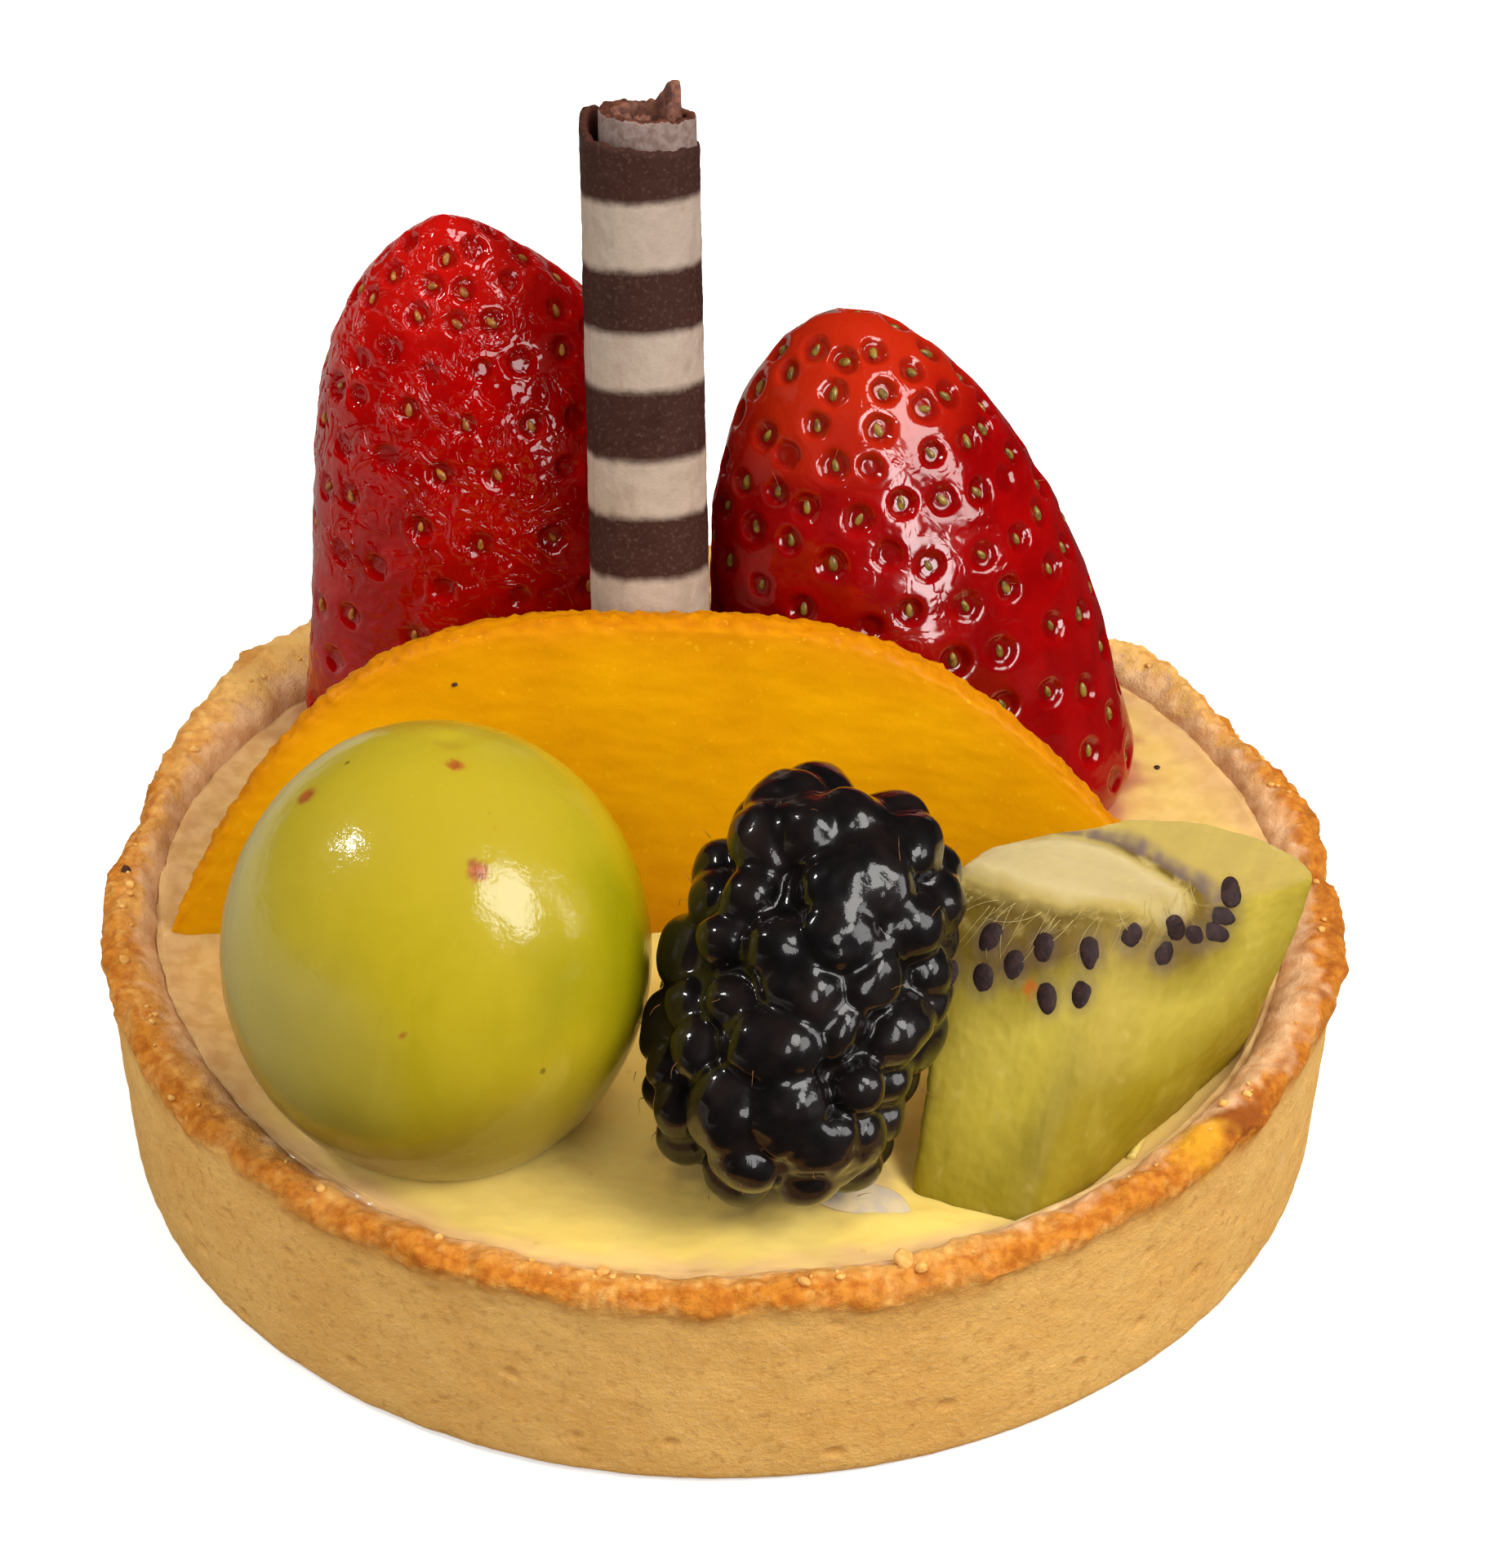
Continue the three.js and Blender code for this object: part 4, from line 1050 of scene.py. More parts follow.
def kiwi_point(u, v, w):
    """Puts 0 to 1 across the front, 0 to 1 to the back and 0 to 1 upwards into the chunk."""
    u, v, w = u[:, None], v[:, None], w[:, None]
    base = np.array([(x, y, CUSTARD_TOP - KIWI_SUNK) for x, y in KIWI_BASE])
    posts = [low + (high - low) * w for low, high in zip(base, np.array(KIWI_TOP))]
    front = posts[0] + (posts[1] - posts[0]) * u
    back = posts[3] + (posts[2] - posts[3]) * u
    crown = v * 4 * u * (1 - u) * w * [2.4, 3.6, 0.6]
    belly = 0.9 * 4 * w * (1 - w) * (1 - v) * [0.2, -0.98, 0]
    flank = 1.2 * 4 * w * (1 - w) * u * np.sin(np.pi * v) * [0.9, -0.44, 0]
    return front + (back - front) * v + crown + belly + flank


def soft_box(count, softness, upright):
    """Points of -1 to 1 over a box with softened edges, softest at the upright ones, and its faces."""
    step = np.arange(count + 1)
    first, second = (grid.ravel() for grid in np.meshgrid(step, step, indexing="ij"))
    cell = np.array([(a, b) for a in range(count) for b in range(count)])
    corners = [(0, 0), (1, 0), (1, 1), (0, 1)]
    square = np.stack([(cell[:, 0] + a) * (count + 1) + cell[:, 1] + b for a, b in corners], -1)
    points, faces = [], []
    for axis in range(3):
        for end in (0, count):
            side = np.zeros(((count + 1) ** 2, 3), int)
            side[:, axis] = end
            side[:, (axis + 1) % 3], side[:, (axis + 2) % 3] = first, second
            faces.append((square if end else square[:, ::-1]) + len(points) * (count + 1) ** 2)
            points.append(side)
    points, kept = np.unique(np.vstack(points), axis=0, return_inverse=True)
    p = np.sin(np.pi / 2 * (2 * points / count - 1))
    flat = (np.abs(p[:, :2]) ** upright).sum(1) ** (1 / upright)
    p /= (flat**softness + np.abs(p[:, 2]) ** softness)[:, None] ** (1 / softness)
    return p, kept.ravel()[np.vstack(faces)].tolist()


def round_core(points):
    """How far along the core each point is, behind it, away from it and round it."""
    start, axis = KIWI_CORE[0], KIWI_CORE[1] - KIWI_CORE[0]
    length = np.linalg.norm(axis)
    axis = axis / length
    along = (points - start) @ axis
    away = points - start - np.clip(along, 0, length)[:, None] * axis
    # The core widens towards the back in its middle
    backward = np.cross([0, 0, 1], axis)
    behind = (points - start) @ backward
    widening = 1.9 * np.sin(np.pi * np.clip((along - 1.0) / 12.5, 0, 1))
    away = away - np.clip(behind, 0, widening)[:, None] * backward
    turn = np.arctan2(away @ np.cross(axis, [0, 0, 1]), -away[:, 2])
    return along, behind, norm(away), turn


def kiwi_seeds(points, tree):
    """Seeds that point away from the core, and how far each point of the flesh is from the nearest."""
    start, axis = KIWI_CORE[0], KIWI_CORE[1] - KIWI_CORE[0]
    halo = np.full(len(points), 9.0)
    seeds = []
    for x, y, tilt in KIWI_SEEDS:
        spot, normal = seen_at(tree, (x, y))
        near = start + axis * np.clip((spot - start) @ axis / (axis @ axis), 0, 1)
        slant = -math.radians(tilt)
        downward = (spot - near) / np.linalg.norm(spot - near)
        aside = np.cross(normal, downward)
        axes = frame_on(normal, downward * math.cos(slant) + aside * math.sin(slant))
        shape, faces = pebble(KIWI_SEED, rows=12, columns=16, point=0.2)
        seeds.append((shape @ axes + spot - normal * 0.14, faces))
        halo = np.minimum(halo, norm((points - spot) @ axes.T / [1, 1.35, 1]))
    return seeds, halo


def kiwi_values(box, points, core, halo, tree):
    along, behind, reach, turn = core
    front, top = smoothstep(-0.9, -0.97, box[:, 1]), smoothstep(0.9, 0.97, box[:, 2])
    ragged = 0.9 * noise(points / 2.4 + 3)
    rust = norm((points - seen_at(tree, KIWI_RUST)[0]) / [0.6, 0.6, 1.2])
    rust = 0.6 * smoothstep(1.0, 0.3, rust + 0.5 * noise(points / 0.5 + 5))
    # A dark band behind the core, and a little shadow round the seeds in front
    band = smoothstep(2.7, 3.2, reach + 0.3 * ragged) * smoothstep(4.9, 3.9, reach + 0.5 * ragged)
    band *= smoothstep(-0.5, 1.0, behind) * smoothstep(2.5, 6.5, along + ragged)
    shadow = top * band * (0.65 + 0.6 * noise(np.stack([along * 1.3, reach * 0.3, 0 * along], -1)))
    shadow = np.maximum(shadow, 0.3 * smoothstep(1.5, 0.7, halo) * (1 - top))
    # The top behind that band is pale, and the upright edge in front gets a painted highlight
    crown = top * smoothstep(3.1, 4.0, reach + 0.3 * ragged) * smoothstep(-0.5, 1.0, behind)
    edge = smoothstep(-0.3, -0.9, box[:, 1]) * smoothstep(0.3, 0.9, box[:, 0])
    # It is a darker green where the outside of the fruit is near: low, on the right and along the back
    low = points[:, 2] - CUSTARD_TOP + 1.5 * ragged
    outer = smoothstep(7.5, 2.5, low) + 0.5 * smoothstep(11, 19, reach + ragged)
    outer = smoothstep(0.7, 0.97, box[:, 0]) * (0.2 + outer)
    outer += front * (0.3 * smoothstep(3, -1, low) + 0.35 * smoothstep(-0.3, -0.9, box[:, 0]))
    # The core and the ring of seeds draw in towards the right-hand end
    ring = reach * (1 + 0.6 * smoothstep(6.5, 13.0, along + 1.5 * front))
    return {
        "reach": ring, "turn": turn, "along": along, "rust": rust, "shadow": np.clip(shadow, 0, 1),
        "outer": 0.75 * np.clip(outer, 0, 1), "crown": np.clip(np.maximum(crown, 0.4 * edge), 0, 1),
    }


def make_kiwi():
    box, faces = soft_box(KIWI_STEPS, KIWI_SOFTNESS, KIWI_UPRIGHT_SOFTNESS)
    points = kiwi_point(*((box + 1) / 2).T)
    core = round_core(points)
    along, _, reach, turn = core
    furrow = rough(np.stack([along * 1.1, reach * 0.12, turn * 2.2], -1), 3)
    lift = 0.02 * furrow * smoothstep(1.5, 4.0, reach) + 0.16 * noise(points / 3.2)
    # The core is a little proud, and the seeds lie in a furrow beside it
    lift += 0.22 * smoothstep(2.6, 1.4, reach) - 0.28 * bell(reach - 3.6, 1.0)
    lift += 0.05 * rough(points / 0.8, 2)
    points = points + normals_of(points, faces) * lift[:, None]
    tree = tree_of(points, faces)
    seeds, halo = kiwi_seeds(points, tree)
    values = kiwi_values(box, points, core, halo, tree)
    make_piece("kiwi_flesh", points, faces, kiwi_material(), "kiwi", "kiwi_chunk", values)
    dark = crumb_material("kiwi_seeds", (52, 28, 26), (36, 18, 16))
    make_piece("kiwi_seeds", *joined(seeds), dark, "kiwi")
    make_kiwi_fibres(tree)
    return tree


def make_kiwi_fibres(tree):
    """Pale threads that curl down from the core's lower edge over the cut faces."""
    random = np.random.default_rng(31)
    places, edge = np.linspace(0, 1, len(KIWI_CORE_EDGE)), np.array(KIWI_CORE_EDGE)
    count = FIBRE_POINTS
    parts = []
    for _ in range(FIBRES):
        where = random.uniform() ** 1.3
        x, y = (np.interp(where, places, column) for column in edge.T)
        # They lean to the left on the left, and hang straight on the right
        slant = math.radians(-60 + 66 * where + random.normal() * 16)
        bend, run = math.radians(random.normal() * 38), random.uniform(0.4, 1.0) * (100 - 62 * where)
        y += random.uniform(-12, 8)
        path = []
        for share in np.linspace(0, 1, count):
            spot, normal, _, _ = tree.ray_cast(Vector(CAMERA_PLACE), Vector(sight((x, y))))
            if spot is None:
                break
            path.append(np.array(spot) + 0.03 * np.array(normal))
            angle = slant + bend * share
            x += run / (count - 1) * math.sin(angle)
            y += run / (count - 1) * math.cos(angle)
        radius = random.uniform(0.014, 0.032)
        if len(path) > 4:
            parts.append(strand(path, radius))
    pale = crumb_material("kiwi_fibre", (196, 172, 106), (176, 152, 84))
    make_piece("kiwi_fibres", *joined(parts), pale, "kiwi")


# ---------------------------------------------------------------- chocolate roll

ROLL_COLUMNS, ROLL_ROWS, CURL_STEPS = 240, 210, 160
ROLL_INNER = ROLL["radius"] - ROLL["sheet"]
BORE_FLOOR = ROLL_LENGTH - ROLL["bore_depth"]
# The sheet's free edge runs up the left side
SEAM = math.radians(205)


def placed_roll(points):
    x, y, z = ROLL["through"]
    rise = z - ROLL["bottom"]
    x += math.tan(math.radians(ROLL["lean_left"])) * rise
    y -= math.tan(math.radians(ROLL["lean_back"])) * rise
    return turned_about(points, ROLL["lean_back"], -ROLL["lean_left"]) + [x, y, ROLL["bottom"]]


def ring_skin(sections):
    """A closed skin through sections that go all the way round."""
    rows, columns = sections.shape[:2]
    index = np.arange(rows * columns).reshape(rows, columns)
    ahead, beside = np.roll(index, -1, axis=0), np.roll(index, -1, axis=1)
    both = np.roll(ahead, -1, axis=1)
    faces = np.stack([index, ahead, both, beside], -1).reshape(-1, 4)
    return sections.reshape(-1, 3), faces.tolist()


def sheet_wall(turn, radius, height, proud=1.0):
    """A ring of the sheet. The free edge laps over the rest, and stands off a little near the top."""
    past = (turn - SEAM) % (2 * np.pi) / (2 * np.pi)
    edge = smoothstep(0.0, 0.02, past)
    flare = 0.28 * smoothstep(0.9, 1.0, height / ROLL_LENGTH) * np.exp(-past / 0.12)
    return circle(turn, radius + proud * (0.16 * edge * (1 - past) - 0.08 + flare * edge), height)


def make_roll_sheet(turn):
    top = ROLL_LENGTH - ROLL["inner_step"] - 0.45 * np.cos(turn)
    top = top + 1.5 * bell(turn - math.radians(152), math.radians(34))
    top = top + 0.22 * noise(circle(turn, 3, 1)) + 0.10 * rough(circle(turn, 11, 4), 3)
    rings = []
    for share in np.linspace(0, 1, ROLL_ROWS):
        ring = sheet_wall(turn, ROLL["radius"], share * (top - 0.15))
        grain = 0.05 * rough(ring / 0.9, 3) + 0.05 * noise(ring / 3.0)
        rings.append(ring + ring * [1, 1, 0] / ROLL["radius"] * grain[:, None])
    lip = rough(circle(turn, 14, 8), 2)[:, None]
    outer = ROLL["radius"]
    rings.append(sheet_wall(turn, outer - 0.14, top) + [0, 0, 0.06] * lip)
    rings.append(sheet_wall(turn, outer - 0.4, top + 0.04) + [0, 0, 0.08] * lip)
    rings.append(sheet_wall(turn, ROLL_INNER + 0.16, top - 0.02, 0.6) + [0, 0, 0.06] * lip)
    for depth in (0.3, 1.0, 3.0, 6.0, ROLL["bore_depth"]):
        rings.append(sheet_wall(turn, ROLL_INNER + 0.02, top - depth, 0.3))
    rings = np.array(rings)
    inside = np.zeros(rings.shape[:2])
    inside[ROLL_ROWS + 1:] = 1
    points, faces = loft(rings, [0, 0, 0], [0, 0, BORE_FLOOR])
    along, inside = with_ends(rings[..., 2], end=BORE_FLOOR), with_ends(inside, end=1)
    # Rusty drips below some of the stripes' edges, and worn spots
    drip = smoothstep(0.62, 0.95, noise(points * [1.0, 1.0, 0.45] + 17))
    edges = np.min(np.abs(along[:, None] - np.array(STRIPE_EDGES)), axis=1)
    drip *= smoothstep(1.3, 0.3, edges) * (1 - inside)
    values = {"along": along, "inside": inside, "rust": 0.8 * drip}
    points = placed_roll(points)
    make_piece("roll_sheet", points, faces, chocolate_material(), "chocolate", "chocolate_roll", values)
    return tree_of(points, faces)


def make_roll_tube(turn, low):
    """The pale tube inside the top, down to low."""
    inner, bore = ROLL_INNER, ROLL["bore"]
    top = ROLL_LENGTH - 0.3 * np.cos(turn)
    top = top + 0.25 * noise(circle(turn, 4, 7)) + 0.10 * rough(circle(turn, 12, 2), 3)
    sections = []
    for angle, high in zip(turn, top):
        reach, height = rounded([
            (inner, low), (inner, high - 0.35), (inner - 0.04, high - 0.12), (inner - 0.2, high),
            (bore + 0.2, high), (bore + 0.04, high - 0.12), (bore, high - 0.4), (bore, low),
        ], 2).T
        reach = reach + 0.04 * noise(circle(angle, 6, height / 2))
        sections.append(circle(angle, reach, height))
    points, faces = ring_skin(np.array(sections))
    values = {"inside": smoothstep(inner - 0.02, inner - 0.14, norm(points[:, :2]))}
    points = placed_roll(points + [ROLL["inner_shift"], 0, 0])
    make_piece("roll_inner_tube", points, faces, pale_chocolate_material(), "chocolate", values=values)


def make_roll_curl(low):
    """The end of the sheet, curled up inside the tube, with a tongue that stands up."""
    sections = []
    for share in np.linspace(0, 1, CURL_STEPS + 1):
        angle = math.radians(-40 + 380 * share)
        reach = ROLL["bore"] + 0.25 - (ROLL["bore"] - 0.5) * share
        half = ROLL["sheet"] * (0.5 - 0.12 * share)
        tongue = 1.6 * bell(share - 0.14, 0.08)
        high = ROLL_LENGTH + 0.45 - 0.7 * share + tongue + 0.3 * rough(np.array([20 * share, 3.0, 1.0]), 3)
        across, height = rounded([
            (-half, low), (-half, high - 0.2), (-half + 0.12, high), (half - 0.12, high),
            (half, high - 0.2), (half, low),
        ], 2).T
        sections.append(circle(angle, reach + across, height))
    points, faces = loft(np.array(sections), sections[0].mean(0), sections[-1].mean(0))
    points = placed_roll(points + 0.05 * noise(points / 1.2)[:, None])
    dark = crumb_material("dark_chocolate", (92, 54, 46), (128, 80, 60))
    make_piece("roll_inner_curl", points, faces, dark, "chocolate")


def make_roll():
    turn, low = turns(ROLL_COLUMNS), BORE_FLOOR - 0.2
    tree = make_roll_sheet(turn)
    make_roll_tube(turn, low)
    make_roll_curl(low)
    return tree


# ---------------------------------------------------------------- custard

CUSTARD_COLUMNS, CUSTARD_ROWS, FILM_ROWS = 760, 150, 12
CUSTARD_UNDER, FILM_UNDER = 12.2, 14.5
# Distances to the fruit are measured up to the first, and farther ones count as the second
NEAR, FAR = 4.0, 9.0


def heights_under(tree, flat):
    """The height of a skin under each point, or 0 beside it."""
    found = np.zeros(flat.shape[:-1])
    for index in np.ndindex(found.shape):
        place, _ = seen_from_above(tree, *flat[index][:2])
        if place is not None:
            found[index] = place[2]
    return found


def gaps_to(tree, flat):
    """How far a skin is from each point of the custard, whose last rows, the film, are near nothing."""
    gap = np.full(flat.shape[:-1], FAR)
    for index in np.ndindex(CUSTARD_ROWS, CUSTARD_COLUMNS):
        place, _, _, away = tree.find_nearest(flat[index], NEAR)
        if place is not None:
            gap[index] = away
    return gap


def custard_values(flat, from_wall, gaps, shell_tree):
    """Where the custard is pale, filmed over or stained, and where shade is painted on it."""
    x, y = flat[..., 0], flat[..., 1]
    pale = smoothstep(2.6, -0.2, from_wall + 1.2 * noise(flat / 2.6 + 8))
    film = smoothstep(0.6, -0.9, from_wall + 0.5 * noise(flat / 1.6 + 15))
    # It is darker on the left, a painted shadow behind the grape, and a little pink at the back on the right
    shade = 0.8 * smoothstep(-22, -31, x + 2 * noise(flat / 4.0)) * smoothstep(-27, -15, y)
    blush = 0.5 * smoothstep(16, 24, x + 2 * noise(flat / 4.0 + 9)) * smoothstep(-3, 4, y)
    # Red round the strawberries' feet: a juice stain with painted contact shade
    berries = np.minimum(gaps["strawberry_left"], gaps["strawberry_right"])
    red = smoothstep(2.8, 0.2, berries + 1.3 * noise(flat / 1.8 + 30)) * 0.8
    # Painted shade round the foot of the bramble berry
    grey = smoothstep(2.2, 0.2, gaps["bramble_berry"] + 0.9 * noise(flat / 1.6 + 33)) * 0.6
    away = norm((flat - seen_at(shell_tree, RIM_SMEAR)[0]) * [0.8, 1, 0.4])
    yolk = smoothstep(2.2, 0.6, away + 0.8 * noise(flat / 1.2 + 70))
    return {"pale": pale, "film": np.maximum(np.maximum(film, shade), blush), "red": red, "grey": grey,
            "yolk": yolk}


def make_custard(fruit, shell_tree):
    turn = turns(CUSTARD_COLUMNS)
    wall = RIM_RADIUS - WALL - 0.6 + inner_wander(turn)
    share = (1 - (1 - np.linspace(0.004, 1, CUSTARD_ROWS)) ** 1.3)[:, None]
    reach = np.vstack([share * wall, wall + np.linspace(0.08, 1.1, FILM_ROWS)[:, None]])
    flat = circle(turn, reach, CUSTARD_TOP)
    from_wall = wall - reach
    creep = np.exp(-np.maximum(from_wall, 0) / 1.6)
    height = 0.22 * noise(flat / 9.0 + 2) + 0.12 * noise(flat / 3.1) + 0.04 * rough(flat / 1.2, 2)
    height += 0.35 * creep
    # It creeps up whatever stands in it, but it lies low in front of the kiwi
    gaps = {name: gaps_to(tree, flat) for name, tree in fruit.items()}
    nearest = np.minimum.reduce([gap for name, gap in gaps.items() if name != "kiwi_chunk"])
    wavy = 0.48 + 0.22 * noise(flat / 2.0 + 21)
    height += np.maximum(0.1, wavy) * np.exp(-nearest / 0.6)
    height += CUSTARD_TOP - (1.05 + 0.35 * creep) * bell(gaps["kiwi_chunk"], 2.2)

    # A thin film climbs the crust, thins out raggedly and ends under its surface
    past_end = -from_wall - 0.45 - 0.2 * noise(flat / 2.6 + 50)
    thick = 0.09 - 0.5 * smoothstep(-0.9, 0.4, past_end)
    outer = slice(CUSTARD_ROWS - FILM_ROWS, None)
    crust = heights_under(shell_tree, flat[outer]) + thick[outer]
    climbing = np.where(from_wall[outer] > 0.5, height[outer], np.maximum(height[outer], crust))
    height[outer] = np.where(past_end[outer] > 0, crust, climbing)

    under = [circle(turn, wall, CUSTARD_UNDER), circle(turn, reach[-1], FILM_UNDER)]
    rings = np.concatenate([under, circle(turn, reach, height)[::-1]])
    points, faces = loft(rings, [0, 0, CUSTARD_UNDER], [0, 0, CUSTARD_TOP + 0.05])
    values = custard_values(flat, from_wall, gaps, shell_tree)
    values = {key: with_ends(np.pad(rows, ((0, 2), (0, 0)))[::-1]) for key, rows in values.items()}
    cream = custard_material()
    make_piece("custard_filling", points, faces, cream, "custard", "custard", values)
    tree = tree_of(points, faces)
    make_custard_ridge(tree, cream)
    return tree


def make_custard_ridge(tree, cream):
    corners = np.array(CUSTARD_RIDGE)
    places = np.arange(len(corners))
    share = np.linspace(0, places[-1], 16)
    pixels = zip(*(np.interp(share, places, column) for column in corners.T))
    points, faces = strand([seen_at(tree, pixel)[0] for pixel in pixels], 0.38)
    points = points + 0.12 * noise(points / 0.8)[:, None]
    make_piece("custard_ridge", points, faces, cream, "custard")


# ---------------------------------------------------------------- crumbs and drops

FLAKES, FLAKES_REACH = 70, (39.6, 40.6)


def crumb(place, size, random):
    """A small crag of about the given width."""
    shape, faces = pebble(np.array([0.5, 0.6, 0.38]) * size, rows=14, columns=18)
    lumps = 0.22 * size * rough(shape / size * 1.7 + random.uniform(0, 50), 3)
    shape = shape + lumps[:, None] * shape / size
    axes = frame_on(np.array([0, 0, 1.0]) + 0.3 * random.normal(size=3), random.normal(size=3))
    return shape @ axes + place, faces


def make_crumbs(shell_tree, custard_tree, peach_tree):
    random = np.random.default_rng(21)
    pale = []
    for x, y, size in RIM_CRUMBS:
        place, normal = seen_at(shell_tree, (x, y))
        pale.append(crumb(place + normal * 0.12 * size, size, random))
    # Loose flakes all round the rim
    for _ in range(FLAKES):
        turn, reach = random.uniform(0, 2 * np.pi), random.uniform(*FLAKES_REACH)
        place, normal = seen_from_above(shell_tree, reach * math.cos(turn), reach * math.sin(turn))
        size = 0.25 + 0.4 * random.uniform() ** 2
        pale.append(crumb(np.array(place) + np.array(normal) * 0.1 * size, size, random))
    light = crumb_material("pale_crumb", (230, 178, 98), (214, 150, 70))
    make_piece("crust_crumbs", *joined(pale), light, "crust")
    marks = (shell_tree, RIM_SPECK), (custard_tree, CUSTARD_FLECK), (peach_tree, PEACH_FLECK)
    specks = [crumb(seen_at(tree, (x, y))[0], size, random) for tree, (x, y, size) in marks]
    dark = crumb_material("dark_crumb", (84, 48, 24), (60, 34, 18))
    make_piece("crust_speck", *joined(specks), dark, "crust")


def make_glaze(custard_tree):
    """Pools of clear glaze at the foot of the bramble berry and of the grape."""
    random = np.random.default_rng(8)
    parts = []
    for x, y, wide, deep, high in GLAZE_POOLS:
        place, normal = seen_at(custard_tree, (x, y))
        shape, faces = pebble(np.array([wide, deep, high]), rows=30, columns=40)
        shape = shape * (1 + 0.1 * noise(shape / [wide, deep, 1] * 1.4 + random.uniform(0, 9)))[:, None]
        parts.append((shape @ frame_on(normal, np.array([0.25, 1.0, 0])) + place, faces))
    make_piece("glaze_pools", *joined(parts), glaze_material(), "custard")


def make_hairs(parts):
    brown = crumb_material("fruit_hair", (150, 96, 50), (110, 62, 34))
    make_piece("fruit_hairs", *joined(parts), brown, "strawberry")


# ---------------------------------------------------------------- floor and lights, in metres

FLOOR_HALF, FLOOR_STEPS = 1.6, 32
# Lights are a name, the direction from the tart, distance, width and height, power and tint
LAMPS = [
    ("key", (0.65, -0.41, 0.64), 0.7, (0.34, 0.44), 4.0, (1.0, 0.975, 0.94)),
    ("left_lamp", (-0.67, 0.02, 0.74), 0.8, (0.11, 0.11), 1.7, (1.0, 0.985, 0.97)),
]
# Nothing mirrors the washes
WASHES = [
    ("front_wash", (-0.4, -0.74, 0.54), 0.9, (0.6, 0.6), 2.9, (1.0, 0.985, 0.96)),
    ("top_wash", (0.35, 0.25, 0.9), 0.8, (0.7, 0.7), 3.2, (1.0, 0.985, 0.96)),
]
# The cards light nothing, and only the pieces named beside them mirror them
CARD_TINT = (1.0, 0.98, 0.97)
CARDS = [
    (("front_card", (0.36, -0.85, 0.39), 0.9, (0.3, 0.55), 3.0, CARD_TINT),
     ("strawberry_left_flesh", "bramble_berry_flesh")),
    (("satin_card", (0.36, -0.85, 0.39), 0.9, (0.34, 0.55), 7.0, CARD_TINT), ("strawberry_right_flesh",)),
    (("right_card", (0.96, -0.26, 0.15), 0.9, (0.5, 0.6), 4.2, CARD_TINT), ("bramble_berry_flesh",)),
    (("crown_card", (0.35, -0.08, 0.93), 0.9, (0.45, 0.45), 5.0, CARD_TINT), ("strawberry_left_flesh",)),
    (("streak_card", (0.944, -0.054, 0.326), 0.9, (0.04, 0.5), 0.55, CARD_TINT), ("grape_skin",)),
]
LIGHTS_AIM = Vector((0, 0, 0.03))
# The room's light in all, and what it has more or less of for these rays
ROOM, ROOM_CHANGES = 0.4, (("Is Glossy Ray", -0.39), ("Is Camera Ray", 0.6))


def make_floor():
    """A white table. The tart sees it greyer, and mirrors it brightly only at the back left."""
    steps = np.linspace(-FLOOR_HALF, FLOOR_HALF, FLOOR_STEPS + 1)
    x, y = (grid.ravel() for grid in np.meshgrid(steps, steps))
    index = np.arange(len(x)).reshape(len(steps), -1)
    faces = np.stack([index[:-1, :-1], index[:-1, 1:], index[1:, 1:], index[1:, :-1]], -1).reshape(-1, 4)
    mesh = new_mesh("floor", np.stack([x, y, 0 * x], -1), faces.tolist())
    m = Shader("white_table", Roughness=0.6, Specular_IOR_Level=0.2)
    seen = m.node("LightPath", {}, output="Is Camera Ray")
    mirrored = m.node("LightPath", {}, output="Is Glossy Ray")
    white = m.mix(m.noise(60.0, 2), (252, 252, 251), (249, 249, 248))
    away = m.node("VectorMath", {0: m.place, 1: (-0.85, 0.5, 0.0)}, output="Value", operation="DOT_PRODUCT")
    sheen = m.veiled((38, 36, 34), (188, 182, 174), away, -0.02, 0.16)
    dull = m.mix(mirrored, (150, 140, 124), sheen)
    m.finish(Emission_Color=light_of((255, 255, 255)), Emission_Strength=m.times(seen, 0.4))
    mesh.materials.append(m.finish(Base_Color=m.mix(seen, dull, white)))
    add_object("floor", mesh)


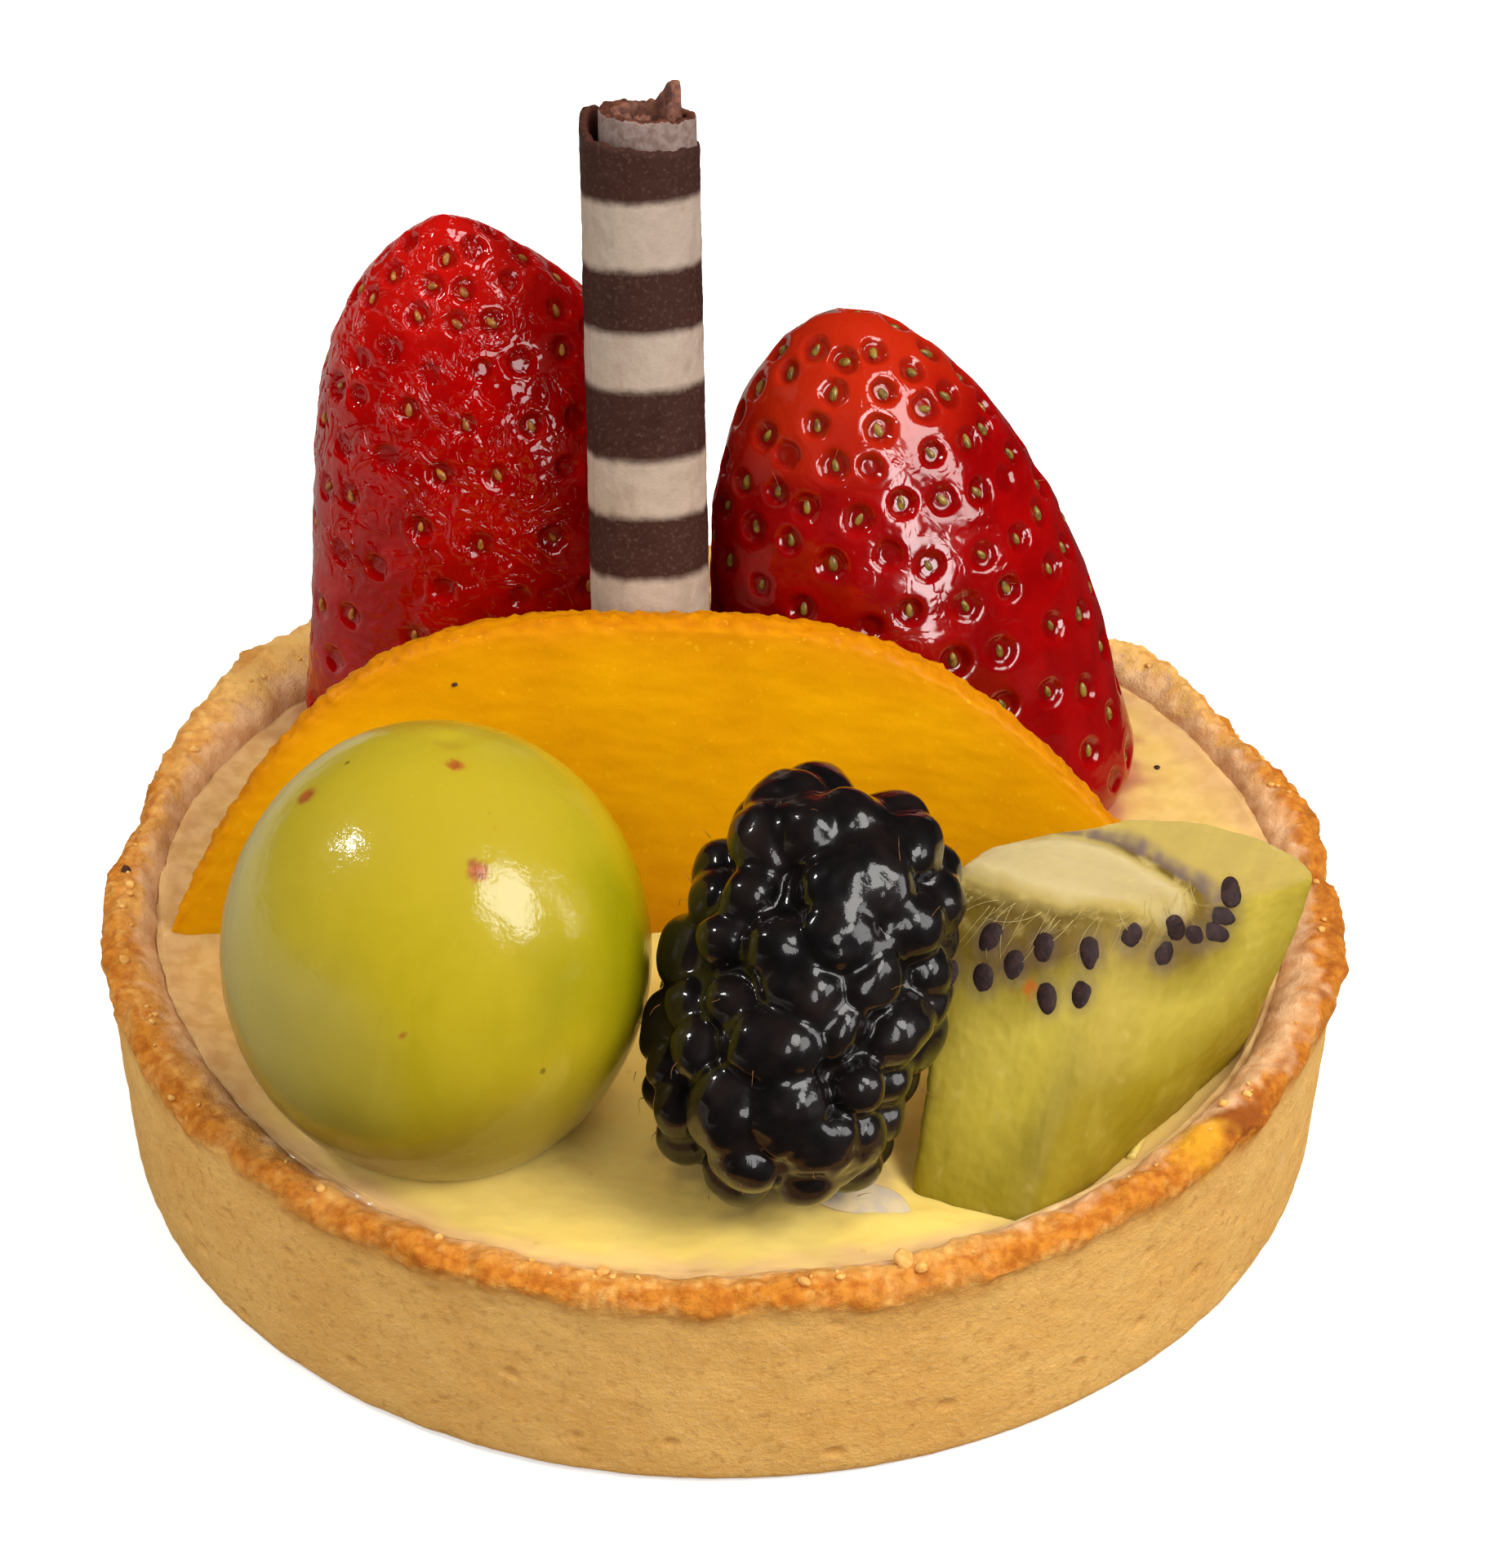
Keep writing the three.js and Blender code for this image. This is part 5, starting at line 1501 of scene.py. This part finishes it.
def make_light(name, towards, distance, size, power, tint):
    data = bpy.data.lights.new(name, "AREA")
    data.shape, data.size, data.size_y, data.energy, data.color = "ELLIPSE", *size, power, tint
    light = add_object(name, data)
    direction = Vector(towards).normalized()
    light.location = LIGHTS_AIM + direction * distance
    light.rotation_euler = (-direction).to_track_quat("-Z", "Y").to_euler()
    return light


def make_lights():
    for lamp in LAMPS:
        make_light(*lamp)
    for wash in WASHES:
        make_light(*wash).visible_glossy = False
    for settings, shiny in CARDS:
        card = make_light(*settings)
        card.visible_diffuse = False
        lit = bpy.data.collections.new(card.name + "_lit")
        for name in shiny:
            lit.objects.link(bpy.data.objects[name])
        card.light_linking.receiver_collection = lit


def make_room():
    """White to the eye and dark in reflections."""
    world = bpy.data.worlds.new("studio")
    world.use_nodes = True
    nodes, links = world.node_tree.nodes, world.node_tree.links
    path, background = nodes.new("ShaderNodeLightPath"), nodes["Background"]
    background.inputs["Color"].default_value = (1, 1, 1, 1)
    strength = background.inputs["Strength"]
    for ray, change in ROOM_CHANGES:
        step = nodes.new("ShaderNodeMath")
        step.operation = "MULTIPLY_ADD"
        links.new(path.outputs[ray], step.inputs[0])
        step.inputs[1].default_value = change
        links.new(step.outputs[0], strength)
        strength = step.inputs[2]
    strength.default_value = ROOM
    bpy.context.scene.world = world
    bpy.context.scene.view_settings.view_transform = "Standard"


# ---------------------------------------------------------------- the tart

shell = make_shell()
fruit = {}
fruit["strawberry_left"], left_hairs = make_strawberry("strawberry_left", LEFT_BERRY, 3, RED, GOLD, 0.3)
fruit["strawberry_right"], right_hairs = make_strawberry(
    "strawberry_right", RIGHT_BERRY, 4, ORANGE_TIPPED, OLIVE, 0.15
)
fruit["peach_slice"] = make_peach()
fruit["grape"] = make_grape()
fruit["bramble_berry"], bramble_hairs = make_bramble()
fruit["kiwi_chunk"] = make_kiwi()
fruit["chocolate_roll"] = make_roll()
custard = make_custard(fruit, shell)
make_crumbs(shell, custard, fruit["peach_slice"])
make_glaze(custard)
make_hairs(left_hairs + right_hairs + bramble_hairs)
make_floor()
make_lights()
make_room()
make_camera()
